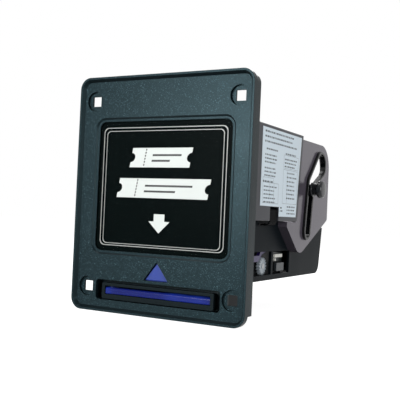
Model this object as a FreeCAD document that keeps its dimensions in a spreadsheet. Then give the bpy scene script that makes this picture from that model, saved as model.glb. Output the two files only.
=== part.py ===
"""Panel-mount ticket printer: a bezel with a display window and a ticket mouth in
front, the print mechanism in a moulded chassis behind it, and a roll holder with
slotted cheeks at the rear.

Millimetres. X is to the right, Y is to the rear and Z is up, seen from the front.
The origin is the centre of the four bolt holes, on the plane where the bezel seats
against its panel, so the bezel lies at negative Y and the printer at positive Y.
"""
import FreeCAD, Part
import math
import os
import Sketcher
from FreeCAD import Rotation, Vector

doc = FreeCAD.newDocument("TicketPrinter")
sheet = doc.addObject("Spreadsheet::Sheet", "Sizes")
pieces = []

AXIS_PLANE = {"X": "YZ_Plane", "Y": "XZ_Plane", "Z": "XY_Plane"}
AXIS_TURN = {"X": Rotation(Vector(0, 1, 0), 90), "Y": Rotation(Vector(1, 0, 0), -90), "Z": Rotation()}


# ---------------------------------------------------------------- sizes that know their expression

class Size:
    """A length or angle with its number and the sheet expression that gives it."""

    def __init__(self, number, text):
        self.number = float(number)
        self.text = text

    def __add__(self, other):
        return Size(self.number + amount(other).number, f"({self.text} + {amount(other).text})")

    def __sub__(self, other):
        return Size(self.number - amount(other).number, f"({self.text} - {amount(other).text})")

    def __mul__(self, other):
        return Size(self.number * amount(other).number, f"({self.text} * {amount(other).text})")

    def __truediv__(self, other):
        return Size(self.number / amount(other).number, f"({self.text} / {amount(other).text})")

    def __radd__(self, other):
        return amount(other) + self

    def __rsub__(self, other):
        return amount(other) - self

    def __rmul__(self, other):
        return amount(other) * self

    def __rtruediv__(self, other):
        return amount(other) / self

    def __neg__(self):
        return Size(-self.number, f"(0 - {self.text})")


def amount(value):
    """Wrap a bare number, so that it can stand beside a Size."""
    return value if isinstance(value, Size) else Size(value, f"({float(value)})")


def sine(angle):
    return Size(math.sin(math.radians(angle.number)), f"sin({angle.text})")


def cosine(angle):
    return Size(math.cos(math.radians(angle.number)), f"cos({angle.text})")


def size(alias, number):
    """Enter one driving size in the sheet and return it."""
    size.row = getattr(size, "row", 0) + 1
    sheet.set(f"A{size.row}", alias)
    sheet.set(f"B{size.row}", str(number))
    sheet.setAlias(f"B{size.row}", alias)
    return Size(number, f"Sizes.{alias}")


# ---------------------------------------------------------------- building blocks

def bind(feature, name, value):
    """Drive one property of a feature from the sheet."""
    feature.setExpression(name, amount(value).text)


def ordered(low, high):
    """The two ends of a span, lower one first."""
    low, high = amount(low), amount(high)
    return (low, high) if low.number <= high.number else (high, low)


def piece(label):
    """Start a new sub-part."""
    body = doc.addObject("PartDesign::Body", label)
    body.Label = label
    body.AllowCompound = True
    pieces.append(body)
    return body


def block(body, x_span, y_span, z_span, cut=False):
    """Add or cut a box that fills the three spans."""
    box = body.newObject("PartDesign::SubtractiveBox" if cut else "PartDesign::AdditiveBox", "Block")
    for side, place, span in zip(("Length", "Width", "Height"), "xyz", (x_span, y_span, z_span)):
        low, high = ordered(*span)
        bind(box, side, high - low)
        bind(box, f"Placement.Base.{place}", low)
    return box


def rod(body, axis, span, centre, radius, cut=False):
    """Add or cut a cylinder along an axis; centre holds its two other coordinates."""
    kind = "PartDesign::SubtractiveCylinder" if cut else "PartDesign::AdditiveCylinder"
    cylinder = body.newObject(kind, "Rod")
    cylinder.Placement.Rotation = AXIS_TURN[axis]
    low, high = ordered(*span)
    others = [place for place in "xyz" if place != axis.lower()]
    bind(cylinder, "Radius", radius)
    bind(cylinder, "Height", high - low)
    bind(cylinder, f"Placement.Base.{axis.lower()}", low)
    for place, value in zip(others, centre):
        bind(cylinder, f"Placement.Base.{place}", value)
    return cylinder


def sketch_across(body, axis, start, origin=(0, 0)):
    """An empty sketch square to an axis: its own axes are the two others, in X, Y, Z order."""
    plane = [item for item in body.Origin.OriginFeatures if item.Role == AXIS_PLANE[axis]][0]
    sketch = body.newObject("Sketcher::SketchObject", "Sketch")
    sketch.AttachmentSupport = (plane, [""])
    sketch.MapMode = "FlatFace"
    bind(sketch, "AttachmentOffset.Base.x", origin[0])
    bind(sketch, "AttachmentOffset.Base.y", origin[1])
    bind(sketch, "AttachmentOffset.Base.z", start)
    return sketch


def pin_point(sketch, geometry, spot, point):
    """Hold one point of a sketch at two sheet-driven coordinates."""
    for kind, value in zip(("DistanceX", "DistanceY"), point):
        value = amount(value)
        index = sketch.addConstraint(Sketcher.Constraint(kind, -1, 1, geometry, spot, value.number))
        sketch.setExpression(f"Constraints[{index}]", value.text)


def draw_polygon(sketch, points):
    """Straight outline through the points, each one pinned."""
    spots = [Vector(amount(u).number, amount(v).number, 0) for u, v in points]
    count = len(spots)
    for index in range(count):
        sketch.addGeometry(Part.LineSegment(spots[index], spots[(index + 1) % count]), False)
    for index in range(count):
        sketch.addConstraint(Sketcher.Constraint("Coincident", index, 2, (index + 1) % count, 1))
    for index, point in enumerate(points):
        pin_point(sketch, index, 1, point)


def draw_rounded(sketch, centre, width, height, radius):
    """Rectangle with four equal round corners about a centre."""
    u, v, radius = amount(centre[0]), amount(centre[1]), amount(radius)
    reach_u, reach_v = amount(width) / 2 - radius, amount(height) / 2 - radius
    corners = [(u + reach_u, v - reach_v), (u + reach_u, v + reach_v),
               (u - reach_u, v + reach_v), (u - reach_u, v - reach_v)]
    arcs = []
    for index, (cu, cv) in enumerate(corners):
        circle = Part.Circle(Vector(cu.number, cv.number, 0), Vector(0, 0, 1), radius.number)
        turn = math.pi / 2 * (index - 1)
        arcs.append(Part.ArcOfCircle(circle, turn, turn + math.pi / 2))
    for index, arc in enumerate(arcs):
        sketch.addGeometry(arc, False)
        sketch.addGeometry(Part.LineSegment(arc.EndPoint, arcs[(index + 1) % 4].StartPoint), False)
    for index, corner in enumerate(corners):
        arc, line, following = 2 * index, 2 * index + 1, 2 * (index + 1) % 8
        sketch.addConstraint(Sketcher.Constraint("Tangent", arc, 2, line, 1))
        sketch.addConstraint(Sketcher.Constraint("Tangent", line, 2, following, 1))
        pin_point(sketch, arc, 3, corner)
        held = sketch.addConstraint(Sketcher.Constraint("Radius", arc, radius.number))
        sketch.setExpression(f"Constraints[{held}]", radius.text)


def extrude(body, sketch, length, cut):
    """Pad or pocket a sketch along its own normal."""
    feature = body.newObject("PartDesign::Pocket" if cut else "PartDesign::Pad", "Extrusion")
    feature.Profile = (sketch, [""])
    feature.Reversed = cut
    bind(feature, "Length", length)
    sketch.Visibility = False
    return feature


def start_of(axis, low, high):
    """Where a sketch square to the axis begins, since the one across Y looks forwards."""
    return -high if axis == "Y" else low


def prism(body, axis, span, points, cut=False):
    """Add or cut a straight-sided prism along an axis."""
    low, high = ordered(*span)
    sketch = sketch_across(body, axis, start_of(axis, low, high))
    draw_polygon(sketch, points)
    return extrude(body, sketch, high - low, cut)


def slab(body, axis, span, centre, width, height, radius, cut=False):
    """Add or cut a plate with four round corners, square to an axis."""
    low, high = ordered(*span)
    sketch = sketch_across(body, axis, start_of(axis, low, high))
    draw_rounded(sketch, centre, width, height, radius)
    return extrude(body, sketch, high - low, cut)


def taper(feature, run, rise):
    """Lean the walls of a feature, so that its front is larger than its rear by a run on each side."""
    feature.TaperAngle = math.degrees(math.atan2(run.number, rise.number))
    feature.setExpression("TaperAngle", f"atan2({run.text}; {rise.text})")


def round_edges(body, axis, spots, radius):
    """Fillet the edges that run along an axis through the given spots."""
    doc.recompute()
    base = body.Tip
    others = [index for index in range(3) if index != "XYZ".index(axis)]
    chosen = []
    for number, edge in enumerate(base.Shape.Edges, 1):
        if not isinstance(edge.Curve, Part.Line):
            continue
        if abs(edge.tangentAt(edge.FirstParameter)["XYZ".index(axis)]) < 0.999:
            continue
        start = edge.Vertexes[0].Point
        for spot in spots:
            gaps = [start[other] - amount(value).number for other, value in zip(others, spot)]
            if math.hypot(*gaps) < 0.01:
                chosen.append(f"Edge{number}")
    fillet = body.newObject("PartDesign::Fillet", "Rounding")
    fillet.Base = (base, chosen)
    bind(fillet, "Radius", radius)
    return fillet


def around(body, axis, span, centre, teeth, root, points):
    """A ring of equal teeth about a centre, from one tooth outline."""
    low, high = ordered(*span)
    rod(body, axis, span, centre, root)
    sketch = sketch_across(body, axis, start_of(axis, low, high), centre)
    draw_polygon(sketch, points)
    tooth = extrude(body, sketch, high - low, False)
    ring = body.newObject("PartDesign::PolarPattern", "Ring")
    ring.Originals = [tooth]
    ring.Axis = (sketch, ["N_Axis"])
    ring.Angle = 360
    bind(ring, "Occurrences", teeth)
    body.Tip = ring
    return ring


# ---------------------------------------------------------------- driving sizes

# Bezel plate
bezel_width = size("bezel_width", 132.0)
bezel_height = size("bezel_height", 158.4)
bezel_corner = size("bezel_corner", 8.0)
bezel_depth = size("bezel_depth", 8.0)
rim_depth = size("rim_depth", 4.4)
rim_width = size("rim_width", 1.5)
rim_slope = size("rim_slope", 1.5)
rim_lean = size("rim_lean", 0.05)
rim_rise = size("rim_rise", 2.8)
face_wall = size("face_wall", 2.6)
skirt_inset = size("skirt_inset", 1.2)
skirt_wall = size("skirt_wall", 1.6)
skirt_stop = size("skirt_stop", 6.8)
skirt_reach = size("skirt_reach", 4.4)

# Carriage-bolt holes: a square for the neck, in a round seat for the head
bolt_side_margin = size("bolt_side_margin", 11.0)
bolt_end_margin = size("bolt_end_margin", 16.0)
bolt_square = size("bolt_square", 6.7)
bolt_seat_radius = size("bolt_seat_radius", 6.5)
bolt_plate = size("bolt_plate", 1.4)
bolt_seat_depth = size("bolt_seat_depth", 2.0)
bolt_boss_radius = size("bolt_boss_radius", 7.8)

# Display window
window_side_margin = size("window_side_margin", 15.3)
window_top_margin = size("window_top_margin", 30.2)
window_over_arrow = size("window_over_arrow", 5.3)
window_corner = size("window_corner", 5.0)
window_shelf = size("window_shelf", 1.5)
window_step = size("window_step", 1.2)
window_slope = size("window_slope", 1.0)
pane_lap = size("pane_lap", 1.3)
pane_thickness = size("pane_thickness", 0.8)
card_thickness = size("card_thickness", 0.6)
retainer_thickness = size("retainer_thickness", 1.6)
retainer_lap = size("retainer_lap", 7.0)
retainer_ear = size("retainer_ear", 4.4)

# Arrow light over the ticket mouth
arrow_width = size("arrow_width", 19.0)
arrow_height = size("arrow_height", 12.3)
arrow_over_mouth = size("arrow_over_mouth", 2.0)
arrow_sink = size("arrow_sink", 1.4)
arrow_play = size("arrow_play", 0.45)
lamp_board_width = size("lamp_board_width", 60.0)
lamp_width = size("lamp_width", 2.4)

# Ticket mouth
paper_width = size("paper_width", 76.0)
mouth_room = size("mouth_room", 9.4)
mouth_height = size("mouth_height", 13.4)
mouth_low_margin = size("mouth_low_margin", 7.8)
mouth_collar = size("mouth_collar", 1.0)
mouth_frame_gap = size("mouth_frame_gap", 1.6)
mouth_corner = size("mouth_corner", 2.4)
snout_room = size("snout_room", 4.6)
snout_side = size("snout_side", 2.3)
snout_brow = size("snout_brow", 1.9)
snout_lip = size("snout_lip", 3.1)
snout_over = size("snout_over", 2.0)
snout_under = size("snout_under", 0.7)
snout_sink = size("snout_sink", 0.6)
lamp_strip_drop = size("lamp_strip_drop", 4.6)
lamp_strip_height = size("lamp_strip_height", 1.4)
mouth_lens_sink = size("mouth_lens_sink", 0.5)
ticket_gap = size("ticket_gap", 1.2)
sensor_height = size("sensor_height", 3.4)
sensor_length = size("sensor_length", 5.0)
sensor_width = size("sensor_width", 8.0)
chute_setback = size("chute_setback", 8.0)
chute_wall = size("chute_wall", 2.0)
chute_gap = size("chute_gap", 8.0)

# Chassis
chassis_wall = size("chassis_wall", 2.0)
chassis_side_gap = size("chassis_side_gap", 3.4)
chassis_low = size("chassis_low", -55.8)
chassis_floor = size("chassis_floor", 2.4)
chassis_length = size("chassis_length", 177.0)
chassis_rear_up = size("chassis_rear_up", -18.0)
chassis_rear_lean = size("chassis_rear_lean", 6.2)
chassis_top = size("chassis_top", 49.0)
chassis_front = size("chassis_front", 2.0)
chassis_corner = size("chassis_corner", 9.0)
lug_past_pane = size("lug_past_pane", 4.5)
lug_half = size("lug_half", 44.0)
lug_screw_inset = size("lug_screw_inset", 3.5)
lug_screw_end = size("lug_screw_end", 10.0)
port_low = size("port_low", -52.0)
port_high = size("port_high", -35.4)
port_front = size("port_front", 45.0)
port_width = size("port_width", 31.0)
port_rib = size("port_rib", 3.4)

# Roll holder
roll_back = size("roll_back", 128.5)
roll_up = size("roll_up", 12.0)
bucket_radius = size("bucket_radius", 41.0)
bucket_wall = size("bucket_wall", 1.4)
bucket_rim_up = size("bucket_rim_up", 2.0)
slit_depth = size("slit_depth", 14.0)
slit_drop = size("slit_drop", 22.0)
slit_height = size("slit_height", 10.0)
guide_start = size("guide_start", 6.0)
guide_run = size("guide_run", 8.0)
guide_rise = size("guide_rise", 10.0)
guide_thickness = size("guide_thickness", 1.4)
cheek_depth = size("cheek_depth", 7.0)
cheek_wall = size("cheek_wall", 2.4)
cheek_top = size("cheek_top", 49.0)
cheek_front = size("cheek_front", 86.0)
cheek_front_low = size("cheek_front_low", -17.6)
cheek_tip_back = size("cheek_tip_back", 112.5)
cheek_tip_low = size("cheek_tip_low", -39.3)
cheek_rear = size("cheek_rear", 174.2)
cheek_rear_low = size("cheek_rear_low", -11.4)
cheek_tip_round = size("cheek_tip_round", 14.0)
cheek_heel_round = size("cheek_heel_round", 3.0)
cheek_corner = size("cheek_corner", 19.0)

# Keyhole track for the spindle, leaning to the rear at its top
track_lean = size("track_lean", 8.0)
track_drop = size("track_drop", 33.0)
track_climb = size("track_climb", 4.5)
track_half = size("track_half", 4.6)
track_wall = size("track_wall", 2.2)
track_proud = size("track_proud", 2.2)
lobe_back = size("lobe_back", 22.0)
lobe_up = size("lobe_up", 20.5)
lobe_radius = size("lobe_radius", 8.8)

# Roll spindle
spindle_radius = size("spindle_radius", 3.0)
neck_radius = size("neck_radius", 4.2)
inner_flange_radius = size("inner_flange_radius", 7.2)
outer_flange_radius = size("outer_flange_radius", 5.8)
knob_radius = size("knob_radius", 6.5)
knob_thickness = size("knob_thickness", 4.6)
knob_neck = size("knob_neck", 5.6)
sleeve_radius = size("sleeve_radius", 6.2)
sleeve_play = size("sleeve_play", 1.0)
collar_thickness = size("collar_thickness", 2.0)

# Control housing on the right wall
housing_depth = size("housing_depth", 8.5)
housing_front = size("housing_front", 6.0)
housing_rear = size("housing_rear", 109.0)
housing_lean = size("housing_lean", 6.6)
housing_low = size("housing_low", -13.6)
housing_top = size("housing_top", 51.4)
housing_wall = size("housing_wall", 2.0)
housing_corner = size("housing_corner", 3.6)
backplate_thickness = size("backplate_thickness", 1.2)
board_thickness = size("board_thickness", 1.6)
board_margin = size("board_margin", 5.5)
board_gap = size("board_gap", 1.4)
stud_radius = size("stud_radius", 2.0)
part_rise = size("part_rise", 1.6)
label_front_margin = size("label_front_margin", 27.0)
label_edge = size("label_edge", 2.2)
label_thickness = size("label_thickness", 0.15)
cable_front = size("cable_front", 52.0)
cable_width = size("cable_width", 12.4)
cable_thickness = size("cable_thickness", 0.8)
cable_drop_up = size("cable_drop_up", -16.0)
notch_top = size("notch_top", -4.0)

# Socket for power and data, on the left wall
socket_from_rear = size("socket_from_rear", 25.0)
socket_width = size("socket_width", 24.0)
socket_over_floor = size("socket_over_floor", 5.4)
socket_height = size("socket_height", 10.0)
socket_depth = size("socket_depth", 10.0)
socket_lip = size("socket_lip", 2.0)
socket_pin_step = size("socket_pin_step", 3.0)
socket_pin_radius = size("socket_pin_radius", 0.4)

# Print mechanism
frame_room = size("frame_room", 0.5)
frame_wall = size("frame_wall", 1.5)
frame_front = size("frame_front", 52.0)
frame_rear = size("frame_rear", 108.0)
frame_high = size("frame_high", -23.0)
frame_chamfer = size("frame_chamfer", 14.0)
platen_back = size("platen_back", 68.0)
platen_up = size("platen_up", -46.0)
platen_radius = size("platen_radius", 6.0)
platen_end_gap = size("platen_end_gap", 0.9)
shaft_radius = size("shaft_radius", 2.0)
bush_radius = size("bush_radius", 3.6)
bush_flange = size("bush_flange", 0.7)
shaft_play = size("shaft_play", 0.05)
head_gap = size("head_gap", 0.3)
head_board = size("head_board", 1.2)
sink_height = size("sink_height", 5.4)
head_front = size("head_front", 60.0)
head_length = size("head_length", 17.0)
head_end_gap = size("head_end_gap", 1.5)
pivot_back = size("pivot_back", 84.0)
pivot_up = size("pivot_up", -30.0)
pivot_radius = size("pivot_radius", 1.5)
lever_gap = size("lever_gap", 0.6)
lever_reach = size("lever_reach", 34.0)
lever_grip = size("lever_grip", 11.6)
lever_drop = size("lever_drop", 8.4)
lever_depth = size("lever_depth", 4.2)
lever_thickness = size("lever_thickness", 2.4)

# Gear train on the left, all of one tooth size
tooth_size = size("tooth_size", 0.7)
gear_face = size("gear_face", 2.6)
gear_gap = size("gear_gap", 0.5)
platen_teeth = size("platen_teeth", 16)
idler_teeth = size("idler_teeth", 26)
pinion_teeth = size("pinion_teeth", 12)
idler_angle = size("idler_angle", 20.0)
pinion_angle = size("pinion_angle", -8.5)
motor_radius = size("motor_radius", 8.6)
motor_length = size("motor_length", 20.0)

# Ticket cutter
blade_back = size("blade_back", 47.0)
blade_thickness = size("blade_thickness", 1.0)
blade_gap = size("blade_gap", 0.2)
blade_end_gap = size("blade_end_gap", 2.6)
blade_low = size("blade_low", -38.0)
blade_high = size("blade_high", -15.0)
fixed_blade_high = size("fixed_blade_high", -42.0)
cutter_post = size("cutter_post", 2.0)
cutter_top = size("cutter_top", -9.0)
cutter_teeth = size("cutter_teeth", 14)
cutter_up = size("cutter_up", -23.0)
cutter_motor_radius = size("cutter_motor_radius", 5.2)
cutter_motor_left = size("cutter_motor_left", -8.0)
cutter_motor_length = size("cutter_motor_length", 24.0)
cutter_beam = size("cutter_beam", 9.0)
cutter_strap = size("cutter_strap", 6.0)

# Feed button in the rear service port
button_back = size("button_back", 97.0)
button_up = size("button_up", -47.4)
button_width = size("button_width", 14.0)
button_height = size("button_height", 6.6)
button_travel = size("button_travel", 1.0)
switch_board_reach = size("switch_board_reach", 10.0)
connector_over_key = size("connector_over_key", 3.6)
connector_height = size("connector_height", 2.4)

# Fasteners and sheet covers
screw_radius = size("screw_radius", 1.4)
screw_head_radius = size("screw_head_radius", 2.7)
screw_head_height = size("screw_head_height", 1.6)
cover_thickness = size("cover_thickness", 1.6)
cover_front_screw = size("cover_front_screw", 16.0)
cover_rear_screw = size("cover_rear_screw", 70.0)
cover_hook_width = size("cover_hook_width", 5.0)
cover_hook_start = size("cover_hook_start", 6.0)
cover_hook_length = size("cover_hook_length", 12.0)
cover_hook_drop = size("cover_hook_drop", 8.0)
fit = size("fit", 0.2)


# ---------------------------------------------------------------- places worked out from them

front = -bezel_depth
face = front + rim_rise
face_back = face + face_wall
rim_back = front + rim_depth
bolt_front = face + bolt_seat_depth
skirt_width = bezel_width - skirt_inset * 2
skirt_height = bezel_height - skirt_inset - skirt_stop
skirt_centre = (skirt_stop - skirt_inset) / 2
skirt_low = skirt_stop - bezel_height / 2
mouth_seat = chassis_front - mouth_frame_gap
window_width = bezel_width - window_side_margin * 2
pane_front = face_back - pane_thickness
pane_width = window_width + pane_lap * 2
pane_back = face_back
card_back = pane_back + card_thickness
retainer_screw_across = window_width * 0.3
mouth_width = paper_width + mouth_room * 2
mouth_low = -bezel_height / 2 + mouth_low_margin
mouth_centre_up = mouth_low + mouth_height / 2
mouth_high = mouth_low + mouth_height
arrow_base_up = mouth_high + arrow_over_mouth
window_high = bezel_height / 2 - window_top_margin
window_low = arrow_base_up + arrow_height + window_over_arrow
window_height = window_high - window_low
window_centre_up = (window_high + window_low) / 2
pane_height = window_height + pane_lap * 2
retainer_screw_up = window_height / 2 + pane_lap + fit + retainer_ear / 2
snout_front = face + snout_sink
snout_width = paper_width + snout_room * 2
snout_high = mouth_high - snout_over
snout_low = mouth_low + snout_under
lens_front = snout_front + mouth_lens_sink
slot_high = snout_high - snout_brow
lens_high = slot_high - ticket_gap
lens_low = snout_low + snout_lip + fit
chute_front = chassis_front + 0.4
chassis_inner = mouth_width / 2 - chassis_side_gap
chassis_half = chassis_inner + chassis_wall
lug_screw_across = pane_width / 2 + lug_past_pane
lug_reach = lug_screw_across + lug_screw_inset
lug_screw_up = lug_half - lug_screw_end
cheek_outer = chassis_half + cheek_depth
housing_outer = chassis_half + housing_depth
frame_half = paper_width / 2 + frame_room
platen_half = frame_half - platen_end_gap
head_half = frame_half - head_end_gap
blade_half = frame_half - blade_end_gap
sleeve_half = paper_width / 2 + sleeve_play
floor_up = chassis_low + chassis_floor
socket_back = chassis_length - socket_from_rear
chute_rear = frame_front - chute_gap
socket_up = floor_up + socket_over_floor + socket_height / 2
wall_front = chassis_front + chassis_floor
frame_outer = frame_half + frame_wall
paper_up = platen_up + platen_radius
bucket_low = roll_up - bucket_radius - bucket_wall
outer_track = cheek_outer + track_proud
knob_start = outer_track + knob_neck
knob_reach = knob_start + knob_thickness


def radius_of(teeth):
    """Pitch radius of a gear."""
    return teeth * tooth_size / 2


idler_back = platen_back + (radius_of(platen_teeth) + radius_of(idler_teeth)) * cosine(idler_angle)
idler_up = platen_up + (radius_of(platen_teeth) + radius_of(idler_teeth)) * sine(idler_angle)
pinion_back = idler_back + (radius_of(idler_teeth) + radius_of(pinion_teeth)) * cosine(pinion_angle)
pinion_up = idler_up + (radius_of(idler_teeth) + radius_of(pinion_teeth)) * sine(pinion_angle)
rack_pitch_line = blade_back + blade_thickness + tooth_size * 2.3
cutter_back = rack_pitch_line + radius_of(cutter_teeth)
cutter_motor_span = (cutter_motor_left, cutter_motor_left + cutter_motor_length)


def spread(middle, width):
    """The span of a width about its middle."""
    return (middle - width / 2, middle + width / 2)


def corners_of(across, up, centre_up=0):
    """The four places of a rectangle of fasteners, as X and Z."""
    return [(side * across, centre_up + end * up) for side in (1, -1) for end in (1, -1)]


bolt_places = corners_of(bezel_width / 2 - bolt_side_margin, bezel_height / 2 - bolt_end_margin)
lug_places = corners_of(lug_screw_across, lug_screw_up)
retainer_places = corners_of(retainer_screw_across, retainer_screw_up, window_centre_up)
cover_places = [(side * (chassis_half - 3.0), back)
                for side in (1, -1) for back in (cover_front_screw, cover_rear_screw)]
lamp_board_places = [(side * lamp_board_width * 0.43, arrow_base_up + arrow_height / 2) for side in (1, -1)]


# ---------------------------------------------------------------- bezel and what it holds

def make_bezel():
    """Dished plate with a raised rim, a rear skirt, a stepped window, arrow, mouth and bolt seats."""
    body = piece("bezel")
    plate = slab(body, "Y", (front, rim_back), (0, 0), bezel_width, bezel_height, bezel_corner)
    taper(plate, 0 - rim_lean, rim_depth)
    rim_foot = rim_width + rim_slope
    dish = slab(body, "Y", (front, face), (0, 0), bezel_width - rim_foot * 2,
                bezel_height - rim_foot * 2, bezel_corner - rim_foot, cut=True)
    taper(dish, rim_slope, rim_rise)
    for inset, cut in ((amount(0), False), (skirt_wall, True)):
        span = (face_back if cut else face, skirt_reach)
        slab(body, "Y", span, (0, skirt_centre), skirt_width - inset * 2, skirt_height - inset * 2,
             bezel_corner - skirt_inset - inset, cut)
        block(body, spread(amount(0), skirt_width - inset * 2), span,
              (skirt_low + inset, skirt_low + bezel_corner + inset), cut)
    step = slab(body, "Y", (face, face + window_step), (0, window_centre_up),
                window_width + window_shelf * 2, window_height + window_shelf * 2,
                window_corner + window_shelf, cut=True)
    taper(step, window_slope, window_step)
    slab(body, "Y", (face, mouth_seat), (0, mouth_centre_up), mouth_width + mouth_collar * 2,
         mouth_height + mouth_collar * 2, mouth_corner + mouth_collar)
    for place in bolt_places:
        rod(body, "Y", (face, bolt_front + bolt_plate), place, bolt_boss_radius)
    for place in lug_places:
        rod(body, "Y", (face_back - 0.5, chassis_front), place, screw_radius * 2.2)
    for place in retainer_places:
        rod(body, "Y", (face_back - 0.5, card_back), place, screw_radius * 1.5)
    for place in lamp_board_places:
        rod(body, "Y", (face_back - 0.5, chassis_front + 0.6), place, screw_radius * 1.5)
    slab(body, "Y", (front, face_back), (0, window_centre_up), window_width, window_height,
         window_corner, cut=True)
    slab(body, "Y", (pane_front, face_back), (0, window_centre_up), pane_width + fit * 2,
         pane_height + fit * 2, window_corner, cut=True)
    slab(body, "Y", (front, mouth_seat), (0, mouth_centre_up), mouth_width, mouth_height,
         mouth_corner, cut=True)
    pocket = (mouth_collar + fit) * 2
    slab(body, "Y", (mouth_seat, skirt_reach), (0, mouth_centre_up), mouth_width + pocket,
         mouth_height + pocket, mouth_corner + mouth_collar, cut=True)
    prism(body, "Y", (front, face_back), arrow_outline(amount(0)), cut=True)
    for x, z in bolt_places:
        rod(body, "Y", (front, bolt_front), (x, z), bolt_seat_radius, cut=True)
        block(body, spread(x, bolt_square), (front, bolt_front + bolt_plate), spread(z, bolt_square),
              cut=True)
    for place in lug_places:
        rod(body, "Y", (face_back, chassis_front), place, screw_radius, cut=True)
    for place in retainer_places:
        rod(body, "Y", (face_back - 1.0, card_back), place, screw_radius * 0.7, cut=True)


def arrow_outline(shrink):
    """Triangle of the arrow light, drawn in by a clearance."""
    return [(shrink * 1.8 - arrow_width / 2, arrow_base_up + shrink),
            (arrow_width / 2 - shrink * 1.8, arrow_base_up + shrink),
            (amount(0), arrow_base_up + arrow_height - shrink * 1.8)]


def make_window():
    """Clear pane, printed card and the screwed frame that clamps them to the bezel."""
    width, height = pane_width, pane_height
    centre = (0, window_centre_up)
    pane = piece("window_pane")
    slab(pane, "Y", (pane_front, pane_back), centre, width, height, window_corner)
    card = piece("display_card")
    slab(card, "Y", (pane_back, card_back), centre, width, height, window_corner)
    retainer = piece("card_retainer")
    thick = (card_back, card_back + retainer_thickness)
    slab(retainer, "Y", thick, centre, width, height + fit * 2 + retainer_ear * 2, window_corner)
    slab(retainer, "Y", thick, centre, width - retainer_lap * 2, height - retainer_lap * 2,
         window_corner, cut=True)
    for place in retainer_places:
        rod(retainer, "Y", thick, place, screw_radius * 0.7 + 0.2, cut=True)
    screws = piece("retainer_screws")
    for place in retainer_places:
        rod(screws, "Y", (face_back - 1.0, thick[1]), place, screw_radius * 0.7)
        rod(screws, "Y", (thick[1], thick[1] + screw_head_height), place, screw_head_radius * 0.7)


def make_arrow_light():
    """Triangular light guide with a retaining flange, and the lamp board behind it."""
    lens = piece("arrow_lens")
    prism(lens, "Y", (face + arrow_sink, 1.0), arrow_outline(arrow_play))
    block(lens, (-arrow_width / 2 - 1.6, arrow_width / 2 + 1.6), (face_back, face_back + 1.2),
          (arrow_base_up, arrow_base_up + arrow_height * 0.7))
    board = piece("lamp_board")
    thick = (chassis_front + 0.6, chassis_front + 0.6 + board_thickness)
    block(board, spread(amount(0), lamp_board_width), thick,
          (arrow_base_up + lamp_width / 2, arrow_base_up + arrow_height + lamp_width))
    lamps = piece("lamps")
    for step in (-1, 0, 1):
        block(lamps, spread(lamp_width * step * 1.7, lamp_width), (thick[0] - lamp_width / 2, thick[0]),
              spread(arrow_base_up + arrow_height * 0.3, lamp_width))


def make_mouth():
    """Inner frame of the ticket mouth and the clear blue bar that the ticket slides out over."""
    frame = piece("mouth_frame")
    slab(frame, "Y", (mouth_seat, chute_front - fit), (0, mouth_centre_up),
         mouth_width + mouth_collar * 2, mouth_height + mouth_collar * 2, mouth_corner + mouth_collar)
    middle, rear = (snout_high + snout_low) / 2, chute_front - fit
    slab(frame, "Y", (snout_front, rear), (0, middle), snout_width, snout_high - snout_low, snout_side * 0.5)
    half = snout_width / 2 - snout_side
    block(frame, (-half, half), (snout_front, rear), (snout_low + snout_lip, slot_high), cut=True)
    lens = piece("mouth_lens")
    half = half - fit
    block(lens, (-half, half), (lens_front, chute_front), (lens_low, lens_high))
    round_edges(lens, "X", [(lens_front, lens_high)], 1.4)
    round_edges(lens, "X", [(lens_front, lens_low)], 0.6)


def make_chute():
    """Two sloping guides that carry the ticket down from the cutter to the mouth."""
    lower_rear, gap_rear = fixed_blade_high - 1.4, ticket_gap + 0.9
    lower = piece("lower_chute")
    across = (-chassis_inner, chassis_inner)
    prism(lower, "X", across, [(chute_front, mouth_low), (chute_front, lens_high),
                               (chute_rear, lower_rear), (chute_rear, chassis_low),
                               (chute_rear - chute_setback, mouth_low)])
    prism(lower, "X", (chassis_wall - chassis_inner, chassis_inner - chassis_wall),
          [(chute_front + chute_wall, mouth_low - 0.1),
           (chute_front + chute_wall, lens_high - chute_wall * 1.3),
           (chute_rear - chute_wall, lower_rear - chute_wall * 1.9),
           (chute_rear - chute_wall, chassis_low - 0.1),
           (chute_rear - chute_setback - chute_wall / 2, mouth_low - 0.1)], cut=True)
    upper = piece("upper_chute")
    prism(upper, "X", across, [(chute_front, slot_high),
                               (chute_rear, lower_rear + gap_rear),
                               (chute_rear, lower_rear + gap_rear + 1.8),
                               (chute_front, slot_high + 1.8)])
    strip = piece("mouth_lamp_strip")
    block(strip, spread(amount(0), paper_width), (chute_front + 2.0, chute_front + 2.0 + board_thickness),
          (lens_high - lamp_strip_drop - lamp_strip_height, lens_high - lamp_strip_drop))
    sensor = piece("ticket_sensor")
    sensor_back = chute_rear - chute_wall
    block(sensor, spread(amount(0), sensor_width), (sensor_back - sensor_length, sensor_back),
          (chassis_low, chassis_low + sensor_height))


# ---------------------------------------------------------------- chassis and covers

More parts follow.
